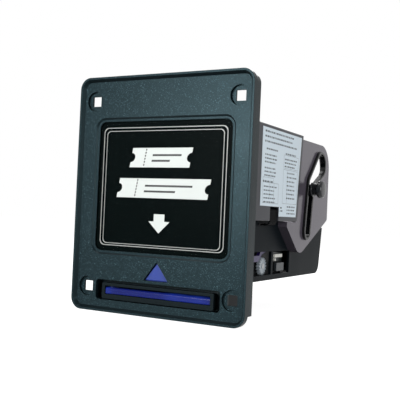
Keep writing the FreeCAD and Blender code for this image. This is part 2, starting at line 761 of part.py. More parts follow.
def make_chassis():
    """Floor, two side walls, rear wall and front lugs in one moulding."""
    body = piece("chassis")
    rear = chassis_length + chassis_rear_lean
    outline = [(chassis_front, chassis_low), (chassis_length, chassis_low),
               (rear, chassis_rear_up), (housing_rear, chassis_rear_up),
               (housing_rear, chassis_top), (chassis_front, chassis_top)]
    prism(body, "X", (-chassis_half, chassis_half), outline)
    round_edges(body, "X", [(chassis_length, chassis_low)], chassis_corner)
    prism(body, "X", (-chassis_inner, chassis_inner),
          [(chassis_front, floor_up), (chassis_length - chassis_floor, floor_up),
           (rear - chassis_floor, chassis_rear_up), (rear - chassis_floor, chassis_top),
           (chassis_front, chassis_top)], cut=True)
    block(body, (-chassis_inner, chassis_inner), (chassis_front, chute_rear),
          (chassis_low, floor_up), cut=True)
    rod(body, "X", (-chassis_half, chassis_half), (roll_back, roll_up),
        bucket_radius + bucket_wall + 0.1, cut=True)
    for side in (1, -1):
        block(body, (side * chassis_inner, side * lug_reach), (chassis_front, wall_front),
              (-lug_half, lug_half))
    for place in lug_places:
        rod(body, "Y", (chassis_front, wall_front), place, screw_radius + fit, cut=True)
    for number in (0, 1):
        start = port_front + (port_width + port_rib) * number
        block(body, (chassis_inner, chassis_half), (start, start + port_width),
              (port_low, port_high), cut=True)
    block(body, (chassis_inner, chassis_half), (cable_front - fit, cable_front + cable_width + fit),
          (cable_drop_up - cable_thickness - fit, cable_drop_up + fit), cut=True)
    block(body, (-chassis_half, -chassis_inner), spread(socket_back, socket_width + fit * 2),
          spread(socket_up, socket_height + fit * 2), cut=True)


def make_chassis_fittings():
    """Screws through the lugs, the top cover and the socket for power and data."""
    screws = piece("lug_screws")
    for place in lug_places:
        rod(screws, "Y", (face_back + 0.4, wall_front), place, screw_radius)
        rod(screws, "Y", (wall_front, wall_front + screw_head_height), place, screw_head_radius)
    cover = piece("top_cover")
    block(cover, (-chassis_half, chassis_half), (wall_front, cheek_front - 1.0),
          (chassis_top, chassis_top + cover_thickness))
    for side in (1, -1):
        hook_front = wall_front + cover_hook_start
        block(cover, (side * (chassis_inner - cover_hook_width), side * (chassis_inner - fit)),
              (hook_front, hook_front + cover_hook_length), (chassis_top - cover_hook_drop, chassis_top))
    socket = piece("power_data_socket")
    bottom = socket_depth - chassis_half - socket_lip * 2
    for span, grow in (((-chassis_half, socket_depth - chassis_half), amount(0)),
                       ((-chassis_inner, socket_lip * 0.75 - chassis_inner), socket_lip * 2)):
        block(socket, span, spread(socket_back, socket_width + grow), spread(socket_up, socket_height + grow))
    block(socket, (-chassis_half, bottom), spread(socket_back, socket_width - socket_lip * 2),
          spread(socket_up, socket_height - socket_lip * 2), cut=True)
    pins = piece("socket_pins")
    for row in (-0.5, 0.5):
        for column in (-2.5, -1.5, -0.5, 0.5, 1.5, 2.5):
            spot = (socket_back + socket_pin_step * column, socket_up + socket_pin_step * row)
            rod(pins, "X", (1.0 - chassis_half, bottom), spot, socket_pin_radius)


# ---------------------------------------------------------------- roll holder

lean = (sine(track_lean), cosine(track_lean))
track_low = (roll_back - track_drop * lean[0], roll_up - track_drop * lean[1])
track_high = (roll_back + track_climb * lean[0], roll_up + track_climb * lean[1])
lobe = (roll_back + lobe_back, roll_up + lobe_up)


def neck_between(one, two, radius_one, radius_two):
    """Four-sided outline that joins a circle at one place to a circle at another."""
    run = math.hypot(two[0].number - one[0].number, two[1].number - one[1].number)
    along_y, along_z = (two[0] - one[0]) / run, (two[1] - one[1]) / run
    return [(one[0] - along_z * radius_one, one[1] + along_y * radius_one),
            (one[0] + along_z * radius_one, one[1] - along_y * radius_one),
            (two[0] + along_z * radius_two, two[1] - along_y * radius_two),
            (two[0] - along_z * radius_two, two[1] + along_y * radius_two)]


def keyhole(body, span, grow, cut):
    """The track's shape: a leaning slot that bends back into a wide round lobe."""
    narrow, wide = track_half + grow, lobe_radius + grow
    for place, radius in ((track_low, narrow), (track_high, narrow), (lobe, wide)):
        rod(body, "X", span, place, radius, cut=cut)
    prism(body, "X", span, neck_between(track_low, track_high, narrow, narrow), cut=cut)
    prism(body, "X", span, neck_between(track_high, lobe, narrow, wide), cut=cut)


def drawn_in(points, inset):
    """The same outline with each of its sides moved inwards by an inset."""
    moved = []
    for index, (u, v) in enumerate(points):
        ways = []
        for near in (points[index - 1], points[(index + 1) % len(points)]):
            run, rise = near[0].number - u.number, near[1].number - v.number
            ways.append((run / math.hypot(run, rise), rise / math.hypot(run, rise)))
        (one_u, one_v), (two_u, two_v) = ways
        turn = abs(one_u * two_v - one_v * two_u)
        moved.append((u + inset * ((one_u + two_u) / turn), v + inset * ((one_v + two_v) / turn)))
    return moved


def make_cheek(name, side):
    """One dished side of the roll holder, with the hole for its keyhole track."""
    body = piece(name)
    outline = [(cheek_front, cheek_top), (cheek_front, cheek_front_low), (cheek_tip_back, cheek_tip_low),
               (cheek_rear, cheek_rear_low), (cheek_rear, cheek_top)]
    prism(body, "X", (side * chassis_half, side * cheek_outer), outline)
    prism(body, "X", (side * chassis_half, side * (cheek_outer - cheek_wall)),
          drawn_in(outline, cheek_wall), cut=True)
    for inset in (cheek_wall, amount(0)):
        corners = drawn_in(outline, inset)[2:]
        for corner, radius in zip(corners, (cheek_tip_round, cheek_heel_round, cheek_corner)):
            round_edges(body, "X", [corner], radius - inset)
    keyhole(body, (side * (cheek_outer - cheek_wall - 1.0), side * cheek_outer), track_wall, True)
    if side > 0:
        lean = housing_rear - housing_lean + fit * 2
        prism(body, "X", (chassis_half, cheek_outer),
              [(cheek_front - 2.0, housing_low - fit * 2), (lean, housing_low - fit * 2),
               (housing_rear + fit * 2, housing_top), (cheek_front - 2.0, housing_top)], cut=True)


def make_tracks():
    """The two equal liners that stand proud of the cheeks and guide the spindle."""
    body = piece("roll_tracks")
    for side in (1, -1):
        span = (side * (cheek_outer - cheek_wall), side * outer_track)
        keyhole(body, span, track_wall - 0.02, False)
        keyhole(body, span, amount(0), True)


def make_bucket():
    """Half-round tray under the roll, with a slit where the paper leaves forwards."""
    body = piece("roll_bucket")
    span = (-chassis_half, chassis_half)
    rod(body, "X", span, (roll_back, roll_up), bucket_radius + bucket_wall)
    rod(body, "X", span, (roll_back, roll_up), bucket_radius, cut=True)
    reach = bucket_radius + bucket_wall + 1.0
    block(body, span, (roll_back - reach, roll_back + reach), (bucket_rim_up, roll_up + reach), cut=True)
    block(body, (-frame_half, frame_half), (roll_back - reach, roll_back - reach + slit_depth),
          (roll_up - slit_drop - slit_height, roll_up - slit_drop), cut=True)
    guide = piece("entry_guide")
    low = (pivot_back + guide_start, pivot_up - 1.0)
    high = (low[0] + guide_run, low[1] + guide_rise)
    prism(guide, "X", (-frame_half, frame_half),
          [low, high, (high[0] + guide_thickness, high[1]), (low[0] + guide_thickness, low[1])])
    for side in (1, -1):
        block(guide, (side * frame_half, side * (frame_half - 1.2)), (low[0], high[0]),
              (low[1] - 2.0, low[1] + 4.0))


def make_spindle():
    """Spindle that rides in both tracks, its spool-shaped ends and the sleeve that turns on it."""
    centre = (roll_back, roll_up)
    rod_body = piece("roll_spindle")
    inner_start = cheek_outer - cheek_wall - 3.2
    rod(rod_body, "X", (-inner_start, inner_start), centre, spindle_radius)
    knob = piece("spindle_knobs")
    for side in (1, -1):
        rod(knob, "X", (side * inner_start, side * knob_reach), centre, neck_radius)
        rod(knob, "X", (side * inner_start, side * (inner_start + 2.6)), centre, inner_flange_radius)
        rod(knob, "X", (side * (outer_track + 0.4), side * (outer_track + 1.8)), centre,
            outer_flange_radius)
        rod(knob, "X", (side * (outer_track + 2.8), side * (outer_track + 3.6)), centre,
            neck_radius + 0.7)
        rod(knob, "X", (side * knob_start, side * knob_reach), centre, knob_radius)
    sleeve = piece("core_sleeve")
    rod(sleeve, "X", (-sleeve_half, sleeve_half), centre, sleeve_radius)
    rod(sleeve, "X", (-sleeve_half, sleeve_half), centre, spindle_radius + shaft_play, cut=True)
    collars = piece("core_collars")
    for side in (1, -1):
        edge = sleeve_half + 0.3
        rod(collars, "X", (side * edge, side * (edge + collar_thickness)), centre, sleeve_radius + 1.0)
        rod(collars, "X", (side * edge, side * (edge + collar_thickness)), centre, spindle_radius, cut=True)


# ---------------------------------------------------------------- control housing

def housing_outline(inset):
    """Side outline of the housing, with its rear edge leaning back at the top."""
    return [(housing_front + inset, housing_low + inset),
            (housing_rear - housing_lean - inset, housing_low + inset),
            (housing_rear - inset, housing_top - inset), (housing_front + inset, housing_top - inset)]


def make_housing():
    """Shallow box on the right wall, with its back plate, board, parts and rating label."""
    inner = chassis_half + backplate_thickness
    shell = piece("control_housing")
    prism(shell, "X", (inner, housing_outer), housing_outline(amount(0)))
    spots = housing_outline(amount(0))
    round_edges(shell, "X", [spots[1]], housing_corner)
    prism(shell, "X", (inner, housing_outer - housing_wall), housing_outline(housing_wall), cut=True)
    notch = (cable_front - 1.2, cable_front + cable_width + 1.2)
    block(shell, (inner, housing_outer), notch, (housing_low - 1.0, notch_top), cut=True)
    plate = piece("control_backplate")
    prism(plate, "X", (chassis_half, inner), housing_outline(amount(0.3)))
    thick = (inner + board_gap, inner + board_gap + board_thickness)
    board_span = (housing_front + board_margin, housing_rear - housing_lean - board_margin)
    board_rise = (notch_top + 1.0, housing_top - board_margin)
    board_long, board_high = board_span[1] - board_span[0], board_rise[1] - board_rise[0]
    for end in (0.08, 0.92):
        for edge in (0.1, 0.9):
            spot = (board_span[0] + board_long * end, board_rise[0] + board_high * edge)
            rod(plate, "X", (inner - 0.2, thick[0]), spot, stud_radius)
    board = piece("control_board")
    block(board, thick, board_span, board_rise)
    parts = piece("board_parts")
    for end, edge, long, high in ((0.15, 0.3, 0.16, 0.28), (0.45, 0.55, 0.1, 0.14),
                                  (0.66, 0.22, 0.09, 0.24), (0.8, 0.68, 0.08, 0.14)):
        back, up = board_span[0] + board_long * end, board_rise[0] + board_high * edge
        block(parts, (thick[1], thick[1] + part_rise), (back, back + board_long * long),
              (up, up + board_high * high))
    block(parts, (thick[1], thick[1] + part_rise), (cable_front - 1.0, cable_front + cable_width + 1.0),
          (notch_top + 1.4, notch_top + 5.4))
    label = piece("rating_label")
    step = housing_outer + label_thickness
    rear_top, low = housing_rear - label_edge * 2, housing_low + label_edge * 1.5
    fore, behind_notch = housing_front + label_front_margin, cable_front + cable_width + 1.2
    prism(label, "X", (housing_outer, step),
          [(fore, notch_top + 0.4), (behind_notch, notch_top + 0.4), (behind_notch, low),
           (rear_top - housing_lean, low), (rear_top, housing_top - label_edge),
           (fore, housing_top - label_edge)])


def make_cable():
    """Flat ribbon from the control board, out of the notch and in through the chassis wall."""
    inner = chassis_half + backplate_thickness + board_gap + board_thickness + cable_thickness / 2
    outer = housing_outer - 0.6
    body = piece("flat_cable")
    start, shelf, low = notch_top + 1.4, notch_top - 1.2, cable_drop_up
    thick = cable_thickness
    prism(body, "Y", (cable_front, cable_front + cable_width),
          [(inner, start), (inner + thick, start), (inner + thick, shelf), (outer, shelf),
           (outer, low - thick), (chassis_inner, low - thick), (chassis_inner, low),
           (outer - thick, low), (outer - thick, shelf - thick), (inner, shelf - thick)])
    round_edges(body, "Y", [(outer, low - thick)], thick + 2.2)
    round_edges(body, "Y", [(outer - thick, low)], amount(2.2))
    round_edges(body, "Y", [(outer, shelf)], thick + 0.5)
    round_edges(body, "Y", [(outer - thick, shelf - thick)], amount(0.5))
    header = piece("cable_header")
    block(header, (chassis_inner - 5.0, chassis_inner), (cable_front - 1.4, cable_front + cable_width + 1.4),
          (low - 2.6, low + 3.0))


# ---------------------------------------------------------------- print mechanism

def make_mechanism_frame():
    """Folded steel frame: two side plates on a base, with bushes for the platen."""
    body = piece("mechanism_frame")
    block(body, (-frame_outer, frame_outer), (frame_front, frame_rear), (floor_up, floor_up + frame_wall))
    for side in (1, -1):
        prism(body, "X", (side * frame_half, side * frame_outer),
              [(frame_front, floor_up), (frame_rear, floor_up), (frame_rear, bucket_low - 3.0),
               (frame_rear - frame_chamfer, frame_high), (frame_front, frame_high)])
        rod(body, "X", (side * frame_half, side * frame_outer), (platen_back, platen_up), bush_radius,
            cut=True)
        rod(body, "X", (side * frame_half, side * frame_outer), (pivot_back, pivot_up), pivot_radius,
            cut=True)
    block(body, (-frame_half, frame_half), spread(platen_back, platen_radius * 2 + 1.6),
          (floor_up, floor_up + frame_wall), cut=True)
    rod(body, "X", (-frame_outer, -frame_half), (pinion_back, pinion_up), radius_of(pinion_teeth) + 1.4,
        cut=True)
    rod(body, "X", (-frame_outer, -frame_half), (idler_back, idler_up), pivot_radius, cut=True)
    bushes = piece("platen_bushes")
    for side in (1, -1):
        rod(bushes, "X", (side * frame_half, side * frame_outer), (platen_back, platen_up), bush_radius)
        rod(bushes, "X", (side * (frame_half - bush_flange), side * frame_half),
            (platen_back, platen_up), bush_radius + 1.0)
        rod(bushes, "X", (side * (frame_half - bush_flange), side * frame_outer),
            (platen_back, platen_up), shaft_radius + shaft_play, cut=True)
    pin = piece("idler_pin")
    rod(pin, "X", (-frame_outer - gear_gap - gear_face - 0.6, -frame_half), (idler_back, idler_up),
        pivot_radius)
    pivot = piece("head_pivot_pin")
    rod(pivot, "X", (-frame_outer - 0.4, frame_outer + lever_gap + lever_thickness + 0.4),
        (pivot_back, pivot_up), pivot_radius)


def gear(body, span, place, teeth, phase):
    """Spur gear with straight-flanked teeth; phase is the angle of one tooth."""
    pitch = radius_of(teeth)
    root, tip = pitch - tooth_size * 1.25, pitch + tooth_size * 0.9
    profile = [(root - 0.3, tooth_size * 1.0), (root - 0.3, tooth_size * -1.0),
               (pitch, tooth_size * -0.66), (tip, tooth_size * -0.36),
               (tip, tooth_size * 0.36), (pitch, tooth_size * 0.66)]
    turned = [(r * cosine(phase) - w * sine(phase), r * sine(phase) + w * cosine(phase))
              for r, w in profile]
    around(body, "X", span, place, teeth, root, turned)


def make_drive():
    """Platen roller on its shaft, the gear train that turns it, and the hand wheel."""
    half_turn = 180.0
    platen_phase = amount(idler_angle)
    idler_phase = idler_angle + half_turn + half_turn / amount(idler_teeth)
    slip = idler_phase - pinion_angle
    pinion_phase = (pinion_angle + half_turn + half_turn / amount(pinion_teeth)
                    - slip * idler_teeth / pinion_teeth)
    place = (platen_back, platen_up)
    span = (-frame_outer - gear_gap - gear_face, -frame_outer - gear_gap)
    roller = piece("platen_roller")
    rod(roller, "X", (-platen_half, platen_half), place, platen_radius)
    rod(roller, "X", (-platen_half, platen_half), place, shaft_radius, cut=True)
    shaft = piece("platen_shaft")
    rod(shaft, "X", (span[0] - 0.2, frame_outer + gear_gap + gear_face + 0.4), place, shaft_radius)
    toothed = piece("platen_gear")
    gear(toothed, span, place, platen_teeth, platen_phase)
    rod(toothed, "X", span, place, shaft_radius, cut=True)
    idler = piece("idler_gear")
    gear(idler, span, (idler_back, idler_up), idler_teeth, idler_phase)
    rod(idler, "X", span, (idler_back, idler_up), pivot_radius + shaft_play, cut=True)
    pinion = piece("motor_pinion")
    gear(pinion, span, (pinion_back, pinion_up), pinion_teeth, pinion_phase)
    rod(pinion, "X", (span[1], -frame_half + 0.4), (pinion_back, pinion_up), pivot_radius)
    motor = piece("feed_motor")
    start = -frame_half
    rod(motor, "X", (start, start + motor_length), (pinion_back, pinion_up), motor_radius)
    rod(motor, "X", (start, start + 0.8), (pinion_back, pinion_up), radius_of(pinion_teeth) + 1.4,
        cut=True)
    block(motor, (start + 0.8, start + motor_length), (pinion_back - 4.0, pinion_back + 4.0),
          (floor_up + frame_wall, pinion_up))
    wheel = piece("hand_wheel")
    right = (frame_outer + gear_gap, frame_outer + gear_gap + gear_face)
    gear(wheel, right, place, platen_teeth, amount(0))
    rod(wheel, "X", right, place, shaft_radius, cut=True)


def make_print_head():
    """Heater board on its heat sink, swinging on the pivot pin behind it."""
    low = paper_up + head_gap
    across = (-head_half, head_half)
    board = piece("print_head")
    block(board, across, (head_front, head_front + head_length), (low, low + head_board))
    sink = piece("head_heat_sink")
    top = low + head_board + sink_height
    block(sink, across, (head_front, head_front + head_length), (low + head_board, top))
    for number in range(4):
        start = head_front + 2.0 + number * 4.0
        block(sink, (-head_half + 4.0, head_half - 4.0), (start, start + 2.0), (low + head_board + 2.6, top),
              cut=True)
    for side in (1, -1):
        ear = (side * (head_half - 3.0), side * head_half)
        rear = head_front + head_length
        prism(sink, "X", ear, [(rear - 5.0, low + head_board), (rear, low + head_board),
                               (pivot_back, pivot_up - 2.6), (pivot_back, pivot_up + 2.6),
                               (rear - 5.0, top)])
        rod(sink, "X", ear, (pivot_back, pivot_up), 2.6)
        rod(sink, "X", ear, (pivot_back, pivot_up), pivot_radius + shaft_play, cut=True)
    lever = piece("head_release_lever")
    start, eye = frame_outer + lever_gap, pivot_radius * 2
    tip, grip_top = pivot_back - lever_reach, pivot_up - lever_drop
    elbow = tip + lever_grip
    prism(lever, "X", (start, start + lever_thickness),
          [(pivot_back, pivot_up + eye), (elbow + 2.4, pivot_up - lever_drop * 0.55),
           (elbow, grip_top), (tip, grip_top), (tip, grip_top - lever_depth),
           (elbow - 1.6, grip_top - lever_depth), (elbow + 4.4, pivot_up - lever_drop * 0.9),
           (pivot_back, pivot_up - eye)])
    rod(lever, "X", (start, start + lever_thickness), (pivot_back, pivot_up), eye)
    rod(lever, "X", (start, start + lever_thickness), (pivot_back, pivot_up),
        pivot_radius + shaft_play, cut=True)


def make_cutter():
    """Fixed and moving blades between two posts, with a rack, a pinion and its motor."""
    posts = piece("cutter_frame")
    inner = blade_half + 0.4
    top = (cutter_top - 2.0, cutter_top)
    for side in (1, -1):
        block(posts, (side * inner, side * (inner + cutter_post)), (blade_back - 2.0, frame_front),
              (floor_up, cutter_top))
    block(posts, (-inner - cutter_post, inner + cutter_post),
          (blade_back - 2.0, frame_front + cutter_beam), top)
    block(posts, cutter_motor_span, spread(cutter_back, cutter_strap),
          (cutter_up + cutter_motor_radius, cutter_top))
    fixed = piece("fixed_blade")
    block(fixed, (-inner, inner), (blade_back + blade_thickness + blade_gap, frame_front),
          (floor_up, fixed_blade_high))
    moving = piece("moving_blade")
    block(moving, (-blade_half, blade_half), (blade_back, blade_back + blade_thickness),
          (blade_low, blade_high))
    pitch = tooth_size * math.pi
    rack = piece("blade_rack")
    rack_span = (20.0, 24.0)
    back = blade_back + blade_thickness
    block(rack, rack_span, (back, rack_pitch_line - tooth_size * 1.25), (cutter_up - pitch * 5, blade_high))
    for number in range(-4, 4):
        up = cutter_up + pitch * (number + 0.5)
        prism(rack, "X", rack_span,
              [(rack_pitch_line - tooth_size * 1.4, up - tooth_size * 0.95),
               (rack_pitch_line + tooth_size * 0.9, up - tooth_size * 0.32),
               (rack_pitch_line + tooth_size * 0.9, up + tooth_size * 0.32),
               (rack_pitch_line - tooth_size * 1.4, up + tooth_size * 0.95)])
    pinion = piece("cutter_pinion")
    gear(pinion, rack_span, (cutter_back, cutter_up), cutter_teeth, amount(180.0))
    rod(pinion, "X", (14.0, 20.0), (cutter_back, cutter_up), 1.0)
    motor = piece("cutter_motor")
    rod(motor, "X", cutter_motor_span, (cutter_back, cutter_up), cutter_motor_radius)
    bore = (cutter_motor_span[1] - 2.2, cutter_motor_span[1])
    rod(motor, "X", bore, (cutter_back, cutter_up), 1.05, cut=True)


def make_feed_button():
    """Small board on the frame with a pressed key, a lamp and a white connector."""
    board = piece("switch_board")
    thick = (frame_outer, frame_outer + 0.9)
    block(board, thick, (button_back - switch_board_reach, frame_rear), (port_low + 0.6, port_high - 1.4))
    half_w, half_h = button_width / 2, button_height / 2
    base = piece("button_base")
    start = thick[1]
    block(base, (start, start + 1.4), (button_back - half_w - 0.8, button_back + half_w + 0.8),
          (button_up - half_h - 0.4, button_up + half_h + 0.4))
    block(base, (start + 0.3, start + 1.4), (button_back - half_w - 0.3, button_back + half_w + 0.3),
          (button_up - half_h - 0.1, button_up + half_h + 0.1), cut=True)
    key = piece("feed_button")
    low = start + 0.3 + button_travel + 0.1
    block(key, (low, low + 2.2), (button_back - half_w, button_back + half_w),
          (button_up - half_h + 0.2, button_up + half_h - 0.2))
    key_spots = [(end_y, end_z) for end_y in (button_back - half_w, button_back + half_w)
                 for end_z in (button_up - half_h + 0.2, button_up + half_h - 0.2)]
    round_edges(key, "X", key_spots, 0.8)
    fittings = piece("switch_board_parts")
    connector_low = button_up + half_h + connector_over_key
    block(fittings, (start, start + 2.0), (button_back - half_w, button_back + half_w),
          (connector_low, connector_low + connector_height))
    rod(fittings, "X", (start, start + 1.8), (button_back - half_w + 1.4, button_up + half_h + 1.9), 1.0)


# ---------------------------------------------------------------- build, check and write

make_bezel()
make_window()
make_arrow_light()
make_mouth()
make_chute()
make_chassis()
make_chassis_fittings()
make_cheek("roll_cheek_right", 1)
make_cheek("roll_cheek_left", -1)
make_tracks()
make_bucket()
make_spindle()
make_housing()
make_cable()
make_mechanism_frame()
make_drive()
make_print_head()
make_cutter()
make_feed_button()
doc.recompute()

for item in doc.Objects:
    if "Invalid" in item.State or "Error" in item.State:
        raise RuntimeError(f"{item.Name} failed: {item.State}")
for body in pieces:
    if body.Shape.isNull() or not body.Shape.isValid():
        raise RuntimeError(f"{body.Label} has no valid shape")

os.makedirs("parts", exist_ok=True)
for body in pieces:
    body.Shape.exportStep(f"parts/{body.Label}.step")
    print(body.Label, len(body.Shape.Solids), round(body.Shape.Volume, 1))
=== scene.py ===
"""Panel-mount ticket printer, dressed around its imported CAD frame.

Metres. X is to the right seen from the front, Y to the rear, Z up. The four bolt holes of
the bezel are centred on the origin. Sections follow the printer as it is put together.
"""
import math

import bmesh
import bpy
import numpy as np
from mathutils import Matrix, Vector


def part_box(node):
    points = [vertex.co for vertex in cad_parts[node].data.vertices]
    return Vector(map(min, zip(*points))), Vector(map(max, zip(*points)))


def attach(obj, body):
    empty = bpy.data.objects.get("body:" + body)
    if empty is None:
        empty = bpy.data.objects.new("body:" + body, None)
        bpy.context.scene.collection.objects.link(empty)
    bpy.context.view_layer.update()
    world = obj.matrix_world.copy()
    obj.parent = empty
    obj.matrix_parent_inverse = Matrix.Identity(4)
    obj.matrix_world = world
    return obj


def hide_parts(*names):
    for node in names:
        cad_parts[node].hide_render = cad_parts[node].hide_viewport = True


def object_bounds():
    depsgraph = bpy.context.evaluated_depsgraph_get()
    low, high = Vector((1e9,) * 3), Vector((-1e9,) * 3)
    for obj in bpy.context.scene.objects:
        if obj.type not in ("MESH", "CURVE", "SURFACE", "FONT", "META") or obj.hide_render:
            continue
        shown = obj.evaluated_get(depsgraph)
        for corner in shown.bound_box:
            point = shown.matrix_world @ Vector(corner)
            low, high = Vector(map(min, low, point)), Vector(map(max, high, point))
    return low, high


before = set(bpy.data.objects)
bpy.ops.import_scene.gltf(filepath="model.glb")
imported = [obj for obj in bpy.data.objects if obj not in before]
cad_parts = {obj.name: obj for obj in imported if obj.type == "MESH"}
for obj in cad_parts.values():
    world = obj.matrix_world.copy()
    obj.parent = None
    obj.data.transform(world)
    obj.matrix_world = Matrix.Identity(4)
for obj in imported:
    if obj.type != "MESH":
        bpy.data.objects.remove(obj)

cad_bounds = [list(corner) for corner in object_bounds()]
mm = 0.001


# ---------------------------------------------------------------- camera, floor and light
# A short-telephoto camera stands in front of the bezel and to its right. The floor and
# the surroundings are white card, and soft boxes light the printer from the front.

camera_place = (245.107 * mm, -394.833 * mm, -11.393 * mm)
camera_turn, camera_tilt, camera_roll = (math.radians(angle) for angle in (28.8618, 91.1813, 2.5428))
camera_data = bpy.data.cameras.new("camera")
camera_data.sensor_width = 36
camera_data.lens = 63.726
camera = bpy.data.objects.new("camera", camera_data)
camera.matrix_world = (Matrix.Translation(camera_place) @ Matrix.Rotation(camera_turn, 4, "Z")
                       @ Matrix.Rotation(camera_tilt, 4, "X") @ Matrix.Rotation(camera_roll, 4, "Z"))
bpy.context.scene.collection.objects.link(camera)
bpy.context.scene.camera = camera
bpy.context.scene.view_settings.view_transform = "Standard"


def add_node(tree, kind, values=None, wires=None, **settings):
    """Adds one shader node. Settings go to its properties, values to its sockets, wires to its inputs."""
    node = tree.nodes.new(kind)
    for name, value in settings.items():
        setattr(node, name, value)
    for name, value in (values or {}).items():
        node.inputs[name].default_value = value
    for name, source in (wires or {}).items():
        tree.links.new(source, node.inputs[name])
    return node


def linear(colour):
    """An sRGB hex colour as linear red, green, blue and 1: each channel above 4% goes through
    ((c + 0.055) / 1.055) to the power 2.4, and a darker one is divided by 12.92."""
    channels = [int(colour[index:index + 2], 16) / 255 for index in (1, 3, 5)]
    return [c / 12.92 if c <= 0.04045 else ((c + 0.055) / 1.055) ** 2.4 for c in channels] + [1.0]


def seen_or_mirrored(tree):
    """1 for the camera's, mirrored and refracted rays, and 0 for the rays that only light things."""
    path = add_node(tree, "ShaderNodeLightPath")
    first = add_node(tree, "ShaderNodeMath", operation="MAXIMUM",
                     wires={0: path.outputs["Is Camera Ray"], 1: path.outputs["Is Glossy Ray"]})
    return add_node(tree, "ShaderNodeMath", operation="MAXIMUM",
                    wires={0: first.outputs[0], 1: path.outputs["Is Transmission Ray"]}).outputs[0]


room = bpy.data.worlds.new("white_room")
bpy.context.scene.world = room
room.use_nodes = True
room.node_tree.nodes.clear()
dim = add_node(room.node_tree, "ShaderNodeBackground", {"Color": linear("#ffffff"), "Strength": 0.22})
bright = add_node(room.node_tree, "ShaderNodeBackground", {"Color": linear("#ffffff"), "Strength": 1.0})
both = add_node(room.node_tree, "ShaderNodeMixShader",
                wires={0: seen_or_mirrored(room.node_tree), 1: dim.outputs[0], 2: bright.outputs[0]})
add_node(room.node_tree, "ShaderNodeOutputWorld", wires={"Surface": both.outputs[0]})


def soft_box(name, place, target, width, height, power):
    """A rectangular lamp at a place, facing a target."""
    data = bpy.data.lights.new(name, "AREA")
    data.shape = "RECTANGLE"
    data.size, data.size_y, data.energy = width, height, power
    lamp = bpy.data.objects.new(name, data)
    aim = Vector(place) - Vector(target)
    lamp.location = place
    lamp.rotation_euler = aim.to_track_quat("Z", "Y").to_euler()
    bpy.context.scene.collection.objects.link(lamp)
    return lamp


soft_box("key_box", (-0.23, -0.72, 0.13), (0, 0, 0), 0.22, 0.22, 5.1)
soft_box("right_box", (0.95, -0.42, 0.14), (0.03, 0.05, 0), 0.35, 0.5, 6.0)
soft_box("top_box", (-0.3, -0.06, 0.85), (0, 0.03, 0), 0.4, 0.4, 3.5)
soft_box("rear_box", (-0.4, 0.95, 0.5), (0, 0.1, 0), 0.5, 0.4, 4.0)

floor_half, floor_gap = 3.0, 0.3 * mm
floor_up = cad_bounds[0][2] - floor_gap
floor_mesh = bpy.data.meshes.new("floor")
floor_mesh.from_pydata([(across * floor_half, along * floor_half, floor_up)
                        for across, along in ((-1, -1), (1, -1), (1, 1), (-1, 1))], [], [(0, 1, 2, 3)])
floor = bpy.data.objects.new("floor", floor_mesh)
bpy.context.scene.collection.objects.link(floor)
card = bpy.data.materials.new("white_card")
card.use_nodes = True
card.node_tree.nodes.clear()
matt = add_node(card.node_tree, "ShaderNodeBsdfDiffuse", {"Color": linear("#a8a8a8")})
glow = add_node(card.node_tree, "ShaderNodeEmission", {"Color": linear("#ffffff"), "Strength": 0.93})
lit = add_node(card.node_tree, "ShaderNodeAddShader", wires={0: matt.outputs[0], 1: glow.outputs[0]})
plain = add_node(card.node_tree, "ShaderNodeMixShader",
                 wires={0: seen_or_mirrored(card.node_tree), 1: matt.outputs[0], 2: lit.outputs[0]})
add_node(card.node_tree, "ShaderNodeOutputMaterial", wires={"Surface": plain.outputs[0]})
floor_mesh.materials.append(card)


# ---------------------------------------------------------------- bezel
# The bezel is one black ABS moulding with a fine spark-eroded grain on its face. Its lip
# and every outer edge are rounded, and its corners have seats for carriage bolts.

def started(name, colour, roughness, ior=1.5, metallic=0.0, **more):
    """A new material with one Principled shader, and its tree and shader."""
    material = bpy.data.materials.new(name)
    material.use_nodes = True
    tree = material.node_tree
    tree.nodes.clear()
    values = {"Base Color": linear(colour), "Roughness": roughness, "IOR": ior, "Metallic": metallic}
    shader = add_node(tree, "ShaderNodeBsdfPrincipled", {**values, **more})
    add_node(tree, "ShaderNodeOutputMaterial", wires={"Surface": shader.outputs[0]})
    return material, tree, shader


def moulded(name, colour, fleck, roughness, grain, depth, ior=1.5, **more):
    """Moulded plastic: a grain of one size in mm gives tiny bumps of one depth in mm and lighter
    flecks on its peaks, and a slow cloud of about 25 mm varies the gloss as handling does."""
    material, tree, shader = started(name, colour, roughness, ior, **more)
    place = add_node(tree, "ShaderNodeTexCoord").outputs["Object"]
    pebbles = add_node(tree, "ShaderNodeTexNoise",
                       {"Scale": 1 / (grain * mm), "Detail": 3.0, "Roughness": 0.6},
                       {"Vector": place}).outputs["Fac"]
    cloud = add_node(tree, "ShaderNodeTexNoise", {"Scale": 1 / (25 * mm), "Detail": 2.0}, {"Vector": place})
    peaks = add_node(tree, "ShaderNodeMapRange", {"From Min": 0.6, "From Max": 0.72}, {"Value": pebbles})
    shade = add_node(tree, "ShaderNodeMix", {6: linear(colour), 7: linear(fleck)},
                     {"Factor": peaks.outputs[0]}, data_type="RGBA")
    gloss = add_node(tree, "ShaderNodeMapRange", {"To Min": roughness * 0.85, "To Max": roughness * 1.15},
                     {"Value": cloud.outputs["Fac"]})
    bump = add_node(tree, "ShaderNodeBump", {"Strength": 1.0, "Distance": depth * mm}, {"Height": pebbles})
    tree.links.new(shade.outputs[2], shader.inputs["Base Color"])
    tree.links.new(gloss.outputs[0], shader.inputs["Roughness"])
    tree.links.new(bump.outputs[0], shader.inputs["Normal"])
    return material


merge_gap = 0.001 * mm


